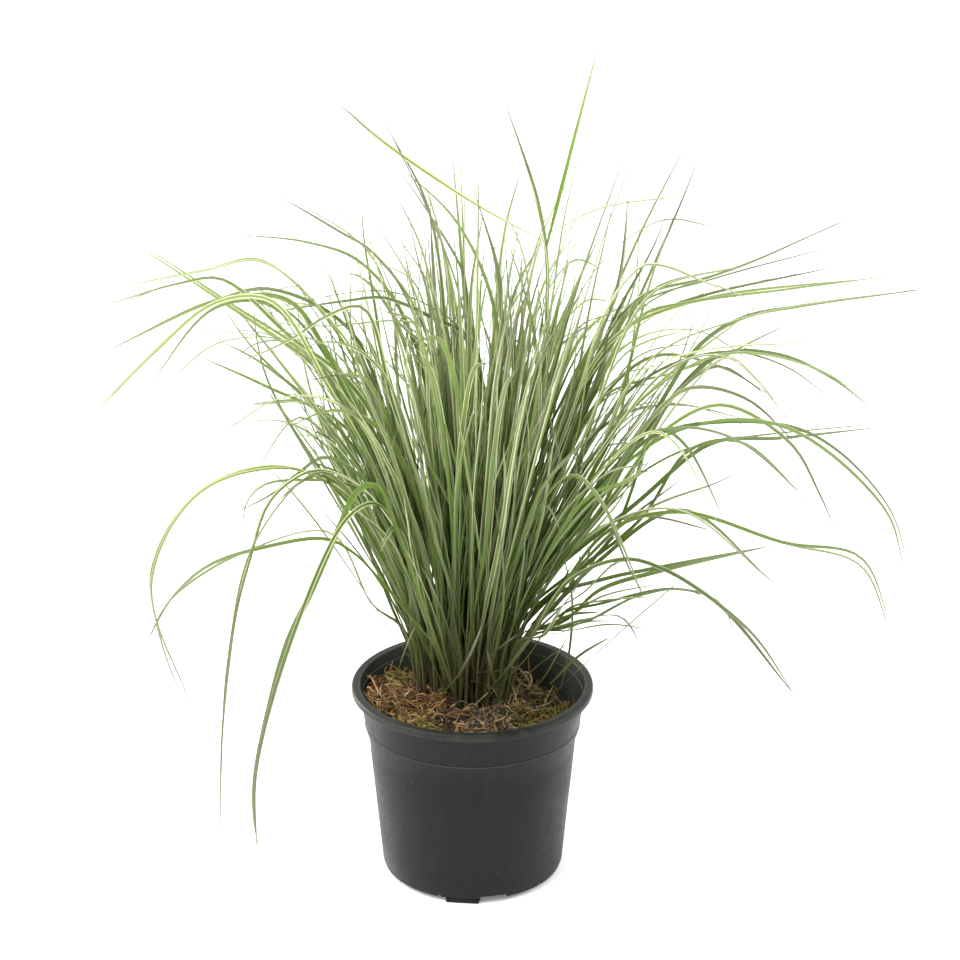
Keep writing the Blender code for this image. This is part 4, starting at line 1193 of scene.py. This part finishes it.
def strands_mesh(name, strands):
    """Thin curly strands as one mesh of three-sided tubes."""
    corners, faces, looks = [], [], []
    sides = len(STRAND_CORNERS)
    for *form, tint, seed in strands:
        chance = Random(seed)
        line = strand_line(chance, *form)
        thickness = form[4]
        count = len(line)
        ahead = np.gradient(line, axis=0)
        ahead /= np.linalg.norm(ahead, axis=1)[:, None] + NEXT_TO_NOTHING / 1000
        side = np.cross(ahead, UP)
        side /= np.linalg.norm(side, axis=1)[:, None] + NEXT_TO_NOTHING
        face = np.cross(side, ahead)
        taper = (1 - STRAND_TAPER * np.linspace(0, 1, count) ** 2)[:, None, None]
        sideways = np.cos(STRAND_CORNERS)[None, :, None] * side[:, None, :]
        ring = sideways + np.sin(STRAND_CORNERS)[None, :, None] * face[:, None, :]
        faces += tube_faces(sum(map(len, corners)), count, sides)
        corners.append((line[:, None, :] + ring * taper * thickness / 2).reshape(-1, 3))
        look = np.tile((tint, chance.random(), 0.0, 1.0), (count * sides, 1))
        look[:, 2] = np.repeat(np.linspace(0, 1, count), sides)
        looks.append(look)
    return tinted_mesh(name, corners, faces, looks, [True] * len(faces))


def somewhere(chance, low, high):
    """An x and y on the soil, between two shares of the way from the pot's axis to its wall."""
    out = SOIL_REACH * chance.uniform(low * low, high * high) ** 0.5
    azimuth = chance.uniform(0, 2 * pi)
    return out * cos(azimuth), out * sin(azimuth)


def coir_share(x, y):
    """How thickly the brown fibre lies at a place: most in the heap, least across from it."""
    azimuth = degrees(atan2(y, x))
    from_heap = abs((azimuth - COIR_HEAP_AZIMUTH + 180) % 360 - 180)
    share = max(COIR_ELSEWHERE, 1 - from_heap / COIR_HEAP_SPREAD)
    even, patchy, scale = COIR_PATCHES
    return share * (even + patchy * noise.noise(Vector((x, y, 0.3)) * scale))


def make_coir(finish):
    """Brown curly fibre that lies over the soil, heaped at the left front."""
    chance = Random(SEED + 2)
    strands = []
    while len(strands) < COIR_STRANDS:
        x, y = somewhere(chance, *COIR_SPREAD)
        if crown_share(x, y) < COIR_OFF_CROWN or chance.random() > coir_share(x, y):
            continue
        heap = coir_share(x, y) * COIR_HEAP_HEIGHT * chance.random()
        place = (x, y, ground(x, y, False) + heap)
        strands.append(strand(chance, place, lambda: chance.gauss(*COIR_RISE), COIR_FORM))
    add_piece("coir_fibres", strands_mesh("coir_fibres", strands), finish, "soil")


def make_moss(finish):
    """Tufts of yellow-green moss near the rim."""
    chance = Random(SEED + 3)
    strands = []
    for azimuth, out, spread, count in MOSS_TUFTS:
        centre = polar(azimuth, out)
        for _ in range(count):
            x = centre.x + chance.gauss(0, spread)
            y = centre.y + chance.gauss(0, spread)
            if hypot(x, y) > COLLAR_STEP_RADIUS - WALL:
                continue
            place = (x, y, ground(x, y, False) + chance.uniform(0, MOSS_DEPTH))
            strands.append(strand(chance, place, lambda: chance.uniform(*MOSS_RISE), MOSS_FORM))
    add_piece("moss_tufts", strands_mesh("moss_tufts", strands), finish, "soil")


def make_straw(finish):
    """Dry bits of old leaf and root lying between the shoots and on the soil."""
    chance = Random(SEED + 4)
    strands = []
    for _ in range(STRAW_BITS):
        x, y = somewhere(chance, *STRAW_SPREAD)
        place = (x, y, ground(x, y, False) + chance.uniform(*STRAW_ABOVE))
        strands.append(strand(chance, place, lambda: chance.gauss(*STRAW_RISE), STRAW_FORM))
    add_piece("straw_bits", strands_mesh("straw_bits", strands), finish, "soil")


def scattered_mesh(name, pattern, places):
    """Many copies of a small form in one mesh, each turned, stretched and tinted its own way."""
    points = np.array([tuple(vert.co) for vert in pattern.verts])
    cells = [[vert.index for vert in face.verts] for face in pattern.faces]
    corners, faces, looks = [], [], []
    for k, (place, sizes, turn, tint, roughness) in enumerate(places):
        matrix = np.array(turn.to_matrix())
        own = points * (1 + roughness[:, None])
        corners.append((own * sizes) @ matrix.T + place)
        faces += [[k * len(points) + corner for corner in cell] for cell in cells]
        looks.append(np.tile((tint, roughness[0] % 1, 0.0, 1.0), (len(points), 1)))
    return tinted_mesh(name, corners, faces, looks, [False] * len(faces))


def make_crumbs(name, finish, count, sizes, flatness, seed, heap=None):
    """Crumbs of compost or chips of bark, strewn over the soil, or most of them towards one side of it."""
    pattern = bmesh.new()
    bmesh.ops.create_icosphere(pattern, subdivisions=1, radius=0.5)
    pattern.verts.index_update()
    chance = Random(seed)
    places = []
    while len(places) < count:
        x, y = somewhere(chance, *CRUMB_SPREAD)
        away = 0 if heap is None else degrees(atan2(y, x)) - heap
        if crown_share(x, y) < CRUMBS_OFF_CROWN or chance.gauss(0, BARK_SPREAD) ** 2 < away * away:
            continue
        size = chance.uniform(*sizes)
        long = size * chance.uniform(*CRUMB_LONG)
        stretch = np.array((long, size * chance.uniform(*CRUMB_BROAD), size * flatness))
        turn = Matrix.Rotation(chance.uniform(0, 2 * pi), 3, "Z")
        turn = turn @ Matrix.Rotation(chance.gauss(0, CRUMB_LEAN), 3, "X")
        rough = np.array([chance.uniform(-CRUMB_ROUGH, CRUMB_ROUGH) for _ in pattern.verts])
        reach = wall_radius(soil_edge_height(atan2(y, x))) - WALL - size
        if hypot(x, y) > reach:
            continue
        place = (x, y, ground(x, y) + size * flatness * CRUMB_REST)
        places.append((place, stretch, turn.to_quaternion(), chance.random(), rough))
    mesh = scattered_mesh(name, pattern, places)
    pattern.free()
    add_piece(name, mesh, finish, "soil")


class Value:
    """A number or colour inside a material, with sums and products as nodes."""

    def __init__(self, nodes, socket):
        self.nodes = nodes
        self.socket = socket

    def __add__(self, other):
        return self.nodes.maths("ADD", self, other)

    def __sub__(self, other):
        return self.nodes.maths("SUBTRACT", self, other)

    def __rsub__(self, other):
        return self.nodes.maths("SUBTRACT", other, self)

    def __mul__(self, other):
        return self.nodes.maths("MULTIPLY", self, other)

    def __truediv__(self, other):
        return self.nodes.maths("DIVIDE", self, other)

    def __abs__(self):
        return self.nodes.maths("ABSOLUTE", self)

    __radd__ = __add__
    __rmul__ = __mul__

    def swing(self, size):
        """How far a value between 0 and 1 is from its middle, times a size."""
        return (self - 0.5) * size

    def parts(self):
        """All that the value's node gives."""
        return [Value(self.nodes, socket) for socket in self.socket.node.outputs]


class Nodes:
    """The nodes of a material or of the surroundings, which make its values."""

    def __init__(self, tree):
        self.tree = tree

    def node(self, kind, settings, inputs, output=0):
        """A new node as a value. Its inputs may be values, numbers, vectors or colours."""
        node = self.tree.nodes.new(kind)
        for key, setting in settings.items():
            setattr(node, key, setting)
        for key, value in inputs.items():
            self.put(node.inputs[key], value)
        return Value(self, node.outputs[output])

    def put(self, socket, value):
        """Give an input a value, a number, a vector or a colour."""
        if isinstance(value, Value):
            self.tree.links.new(value.socket, socket)
        elif socket.type == "RGBA":
            socket.default_value = (*value, 1)
        else:
            socket.default_value = value

    def maths(self, operation, a, b=0.0):
        """A Math node of two values."""
        return self.node("ShaderNodeMath", {"operation": operation}, {0: a, 1: b})

    def split(self, vector):
        """A vector's three numbers."""
        return self.node("ShaderNodeSeparateXYZ", {}, {0: vector}).parts()

    def mix(self, share, first, second):
        """A colour between two others."""
        return self.node("ShaderNodeMix", {"data_type": "RGBA"}, {0: share, 6: first, 7: second}, 2)


class Finish(Nodes):
    """A procedural material. Its base colour is laid on in layers."""

    def __init__(self, name, roughness):
        self.material = bpy.data.materials.new(name)
        self.material.use_nodes = True
        super().__init__(self.material.node_tree)
        self.shader = self.tree.nodes["Principled BSDF"]
        self.base = None
        self.give("Roughness", roughness)

    def give(self, name, value):
        """Give the shader's own input a value."""
        self.put(self.shader.inputs[name], value)

    def cover(self, share, colour):
        """Lay a colour over the base colour, as thickly as a share between 0 and 1."""
        self.base = self.mix(share, self.base, colour)

    def done(self):
        """The material, once it has its base colour."""
        self.give("Base Color", self.base)
        return self.material

    def place(self):
        """The place on the object, in metres."""
        return self.node("ShaderNodeTexCoord", {}, {}, "Object")

    def facing(self):
        """The way that the surface faces, along the object's axes."""
        return self.node("ShaderNodeTexCoord", {}, {}, "Normal")

    def stretched(self, sizes):
        """The place on the object, stretched along each axis."""
        return self.node("ShaderNodeMapping", {}, {"Vector": self.place(), "Scale": sizes})

    def noise(self, where, scale, detail=3.0, rough=0.55):
        """Smooth noise between 0 and 1."""
        inputs = {"Vector": where, "Scale": scale, "Detail": detail, "Roughness": rough}
        return self.node("ShaderNodeTexNoise", {}, inputs)

    def cells(self, where, scale):
        """The distance from the nearest of many scattered points."""
        return self.node("ShaderNodeTexVoronoi", {}, {"Vector": where, "Scale": scale})

    def between(self, value, low, high, at_low=0.0, at_high=1.0):
        """A smooth rise from one number to another as a value goes from low to high."""
        inputs = {"Value": value, "From Min": low, "From Max": high, "To Min": at_low, "To Max": at_high}
        return self.node("ShaderNodeMapRange", {"interpolation_type": "SMOOTHSTEP"}, inputs)

    def look(self):
        """The four tints that a mesh carries on its points."""
        tints, _, _, last = self.node("ShaderNodeAttribute", {"attribute_name": "look"}, {}).parts()
        return self.node("ShaderNodeSeparateColor", {}, {0: tints}).parts() + [last]

    def bump(self, height, distance, strength):
        """A relief from a height between 0 and 1, in metres."""
        inputs = {"Height": height, "Distance": distance, "Strength": strength}
        self.give("Normal", self.node("ShaderNodeBump", {}, inputs))


def leaf_finish():
    """Variegated blades: green with cream edges and fine stripes, brown sheaths and a few dried tips.

    Painted shade darkens the leaves lower in the clump, and painted shadow darkens some whole leaves.
    """
    finish = Finish("leaf", LEAF_ROUGHNESS)
    tone, margin, stem, dry_and_shadow = finish.look()
    across, along, _ = finish.split(finish.node("ShaderNodeUVMap", {"uv_map": "strip"}, {}))

    def on_blade(scales, detail):
        """Noise along a blade, of its own on each leaf."""
        across_scale, along_scale, leaf_scale = scales
        where = {0: across * across_scale, 1: along * along_scale, 2: tone * leaf_scale}
        return finish.noise(finish.node("ShaderNodeCombineXYZ", {}, where), 1.0, detail)

    place = finish.place()
    height = finish.split(place)[2]
    grain = on_blade(LEAF_GRAIN, 3)
    patches = finish.noise(place, *LEAF_PATCHES)
    finish.base = finish.mix(finish.between(tone + patches.swing(0.5), *GREEN_RANGE), LEAF_DARK, LEAF_GREEN)
    finish.cover(finish.between(grain, *BRIGHT_RANGE), LEAF_BRIGHT)
    # Painted shade: the leaves darken lower in the clump, and their cream edges narrow there
    shaded = finish.between(height, *SHADED_RANGE)
    from_middle = abs(across - 0.5) * 2
    edge = from_middle + grain.swing(CREAM_WAVER) + finish.between(margin, *CREAM_WIDTH)
    edge = edge - shaded * CREAM_LOST_LOW
    cream = finish.mix(patches, LEAF_CREAM, LEAF_CREAM_PALE)
    finish.cover(finish.between(edge, *CREAM_RANGE), cream)
    finish.cover(finish.between(on_blade(LEAF_STRIPES, 1), *STRIPE_RANGE) * (1 - stem), LEAF_STRIPE)
    finish.cover(shaded, LEAF_SHADED)
    brown = finish.between(patches + margin.swing(0.6), *SHEATH_BROWN_RANGE)
    low = finish.between(height, *SHEATH_RANGE)
    sheathed = finish.maths("MAXIMUM", low * SHEATH_COVER, stem * STEM_COVER * low)
    finish.cover(sheathed, finish.mix(brown, SHEATH_OLIVE, SHEATH_BROWN))
    # Painted shadow: some whole leaves are darkened, picked by the same number as the dried tips
    finish.cover(finish.between(dry_and_shadow + patches.swing(0.3), *PAINTED_SHADOW_RANGE) * (1 - stem), LEAF_PAINTED_SHADOW)
    finish.cover(finish.between(along, *PALE_END_RANGE), LEAF_PALE_END)
    finish.cover(finish.between(along + dry_and_shadow.swing(0.34), *DRY_TIP_RANGE), LEAF_DRY)
    through = finish.node("ShaderNodeBsdfTranslucent", {}, {"Color": LEAF_THROUGH})
    surface = Value(finish, finish.shader.outputs[0])
    both = finish.node("ShaderNodeMixShader", {}, {0: LEAF_LIGHT_THROUGH, 1: surface, 2: through})
    finish.put(finish.tree.nodes["Material Output"].inputs["Surface"], both)
    return finish.done()


def pot_finish():
    """Black-grey plastic, mottled and dusty, with scuffs, specks and a crease on the collar.

    It has painted shade in the crease, painted highlights along the crease's lip and the collar's step,
    and painted light on the inward faces.
    """
    finish = Finish("pot_plastic", 0.5)
    finish.give("Specular IOR Level", POT_SHINE)
    place = finish.place()
    x, y, z = finish.split(place)
    cloud = finish.noise(place, *POT_CLOUD)
    fine = finish.noise(place, *POT_GRAIN)
    streak = finish.noise(finish.stretched(STREAK_STRETCH), *POT_STREAKS)
    finish.base = finish.mix(finish.between(cloud, *POT_GREY_RANGE), POT_DARK, POT_GREY)
    finish.cover(finish.between(streak, *SCUFF_RANGE), POT_SCUFF)
    # Painted light: the inward faces are lighter than the same plastic outside
    facing_x, facing_y, _ = finish.split(finish.facing())
    finish.cover(finish.between(x * facing_x + y * facing_y, *INSIDE_LIGHT_RANGE), POT_INSIDE_LIGHT)
    # A painted highlight: a thin pale line along the collar's step
    seam = abs(z - (POT_HEIGHT - COLLAR_STEP_DEPTH))
    finish.cover(finish.between(seam, *STEP_HIGHLIGHT), POT_DUST_AND_HIGHLIGHT)
    near_rim = finish.between(z, *(POT_HEIGHT - depth for depth in RIM_DUST_DEPTHS))
    finish.cover(finish.between(cloud + fine * 0.3, *RIM_DUST) * near_rim, POT_DUST_AND_HIGHLIGHT)
    specks = finish.between(finish.cells(place, SPECK_SCALE), *SPECK_RANGE)
    strewn = finish.between(finish.noise(place, *SPECK_PATCHES), *SPECK_PATCH_RANGE)
    finish.cover(specks * strewn * SPECK_COVER, POT_DUST_AND_HIGHLIGHT)
    finish.cover(finish.between(z + cloud * 0.012, *BASE_DUST), POT_SOILED)
    (start, start_height), (end, end_height) = CREASE
    share = (finish.maths("ARCTAN2", y, x) * (180 / pi) - start) / (end - start)
    line = start_height + share * (end_height - start_height)
    reach = finish.between(share, *CREASE_START) * finish.between(share, *CREASE_END)
    crease = finish.between(abs(z - line + fine.swing(0.0006)), 0.0, CREASE_HALF_WIDTH, 1, 0) * reach
    # Painted shade along the crease, and a painted highlight along the ridge beside it, over a dent in the
    # relief
    finish.cover(crease * CREASE_SHADE_COVER, POT_CREASE_SHADE)
    lip_highlight = finish.between(abs(z - line - CREASE_LIP), 0.0, CREASE_HALF_WIDTH, CREASE_LIP_HIGHLIGHT, 0)
    finish.cover(lip_highlight * reach, POT_DUST_AND_HIGHLIGHT)
    finish.give("Roughness", finish.between(cloud * 0.6 + fine * 0.4, *POT_ROUGHNESS))
    finish.bump(fine * 0.5 + streak * 0.5 - crease * 16, *POT_RELIEF)
    return finish.done()


def soil_finish():
    """Moist compost: dark between the lumps, brown on them, with greenish and pale specks.

    The dark between the lumps is partly the soil's own colour and partly painted shade in the hollows.
    """
    finish = Finish("soil", SOIL_ROUGHNESS)
    place = finish.place()
    lumps = finish.noise(place, *SOIL_CLODS)
    grain = finish.noise(place, *SOIL_GRAIN)
    patches = finish.noise(place, *SOIL_PATCHES)
    # Partly painted shade: darker where the bump's lumps are low
    finish.base = finish.mix(finish.between(lumps, *BROWN_RANGE), SOIL_DARK_AND_SHADE, SOIL_BROWN)
    finish.cover(finish.between(grain, *FIBRE_RANGE), SOIL_FIBRE)
    finish.cover(finish.between(patches, *GREENISH_RANGE), SOIL_GREENISH)
    specks = finish.between(finish.cells(place, SOIL_SPECK_SCALE), *SOIL_SPECK_RANGE)
    finish.cover(specks * finish.between(lumps, *SOIL_SPECK_PLACES), SOIL_PALE)
    finish.bump(lumps * 0.7 + grain * 0.3, *SOIL_RELIEF)
    return finish.done()


def tinted_finish(name, roughness, dark, light, odd):
    """A material for many small pieces, each with its own tint between two colours, or an odd third one."""
    finish = Finish(name, roughness)
    tint, odds, _, _ = finish.look()
    finish.base = finish.mix(tint, dark, light)
    finish.cover(finish.between(odds, *ODD_PIECES), odd)
    finish.cover(finish.between(finish.noise(finish.place(), *PIECE_MOTTLE), *MOTTLE_RANGE), PIECE_SHADED)
    return finish.done()


def make_camera():
    """The camera that took the photo."""
    camera = bpy.data.cameras.new("photo_camera")
    camera.sensor_width = SENSOR
    camera.lens = FOCAL_PIXELS / PHOTO_SIZE * SENSOR
    camera.clip_end = CAMERA_REACH
    made = new_object("photo_camera", camera)
    made.location = CAMERA_PLACE
    made.rotation_euler = (radians(90 - CAMERA_PITCH), 0, 0)
    bpy.context.scene.camera = made


def make_light(name, place, target, size, power):
    """A soft square light."""
    light = bpy.data.lights.new(name, "AREA")
    light.size = size
    light.energy = power
    made = new_object(name, light)
    made.location = place
    made.rotation_euler = (Vector(target) - Vector(place)).to_track_quat("-Z", "Y").to_euler()


def make_surroundings():
    """White surroundings, brighter behind the plant and above it."""
    world = bpy.data.worlds.new("studio")
    world.use_nodes = True
    nodes = Nodes(world.node_tree)
    _, behind, above = nodes.split(nodes.node("ShaderNodeTexCoord", {}, {}, "Generated"))
    shade = WORLD_FRONT
    brighter = ((behind, WORLD_BACK_RANGE, WORLD_BACK), (above, WORLD_TOP_RANGE, WORLD_TOP))
    for part, (low, high), colour in brighter:
        share = nodes.node("ShaderNodeMapRange", {}, {"Value": part, "From Min": low, "From Max": high})
        shade = nodes.mix(share, shade, colour)
    nodes.put(nodes.tree.nodes["Background"].inputs["Color"], shade)
    bpy.context.scene.world = world


def make_stage():
    """A white studio: a floor of white paper, white surroundings and soft lights."""
    shape = bmesh.new()
    bmesh.ops.create_grid(shape, x_segments=1, y_segments=1, size=FLOOR_SIZE)
    mesh = finished(shape, "studio_floor")
    floor = new_object("studio_floor", mesh)
    paper = Finish("white_paper", PAPER_ROUGHNESS)
    paper.base = PAPER
    paper.give("Emission Color", PAPER)
    paper.give("Emission Strength", PAPER_GLOW)
    mesh.materials.append(paper.done())
    make_surroundings()
    for light in LIGHTS:
        make_light(*light)
    bpy.context.scene.view_settings.view_transform = "Standard"


def main():
    """Every piece of the plant, its soil and its pot, then the studio around them."""
    leaf = leaf_finish()
    plastic = pot_finish()
    soil = soil_finish()
    make_leaves(leaf)
    make_pot(plastic)
    make_soil(soil)
    make_coir(tinted_finish("coir", 0.9, COIR_DARK, COIR_LIGHT, COIR_ODD))
    make_moss(tinted_finish("moss", 0.9, MOSS_DARK, MOSS_LIGHT, MOSS_ODD))
    make_straw(tinted_finish("straw", 0.8, STRAW_DARK, STRAW_LIGHT, STRAW_ODD))
    crumbs = tinted_finish("crumbs", 0.95, CRUMB_DARK, CRUMB_LIGHT, CRUMB_ODD)
    make_crumbs("soil_crumbs", crumbs, CRUMBS, CRUMB_SIZE, CRUMB_FLATNESS, SEED + 5)
    bark = tinted_finish("bark", 0.85, BARK_DARK, BARK_LIGHT, BARK_ODD)
    make_crumbs("bark_chips", bark, BARK_CHIPS, BARK_SIZE, BARK_FLATNESS, SEED + 6, BARK_AZIMUTH)
    make_camera()
    make_stage()


main()
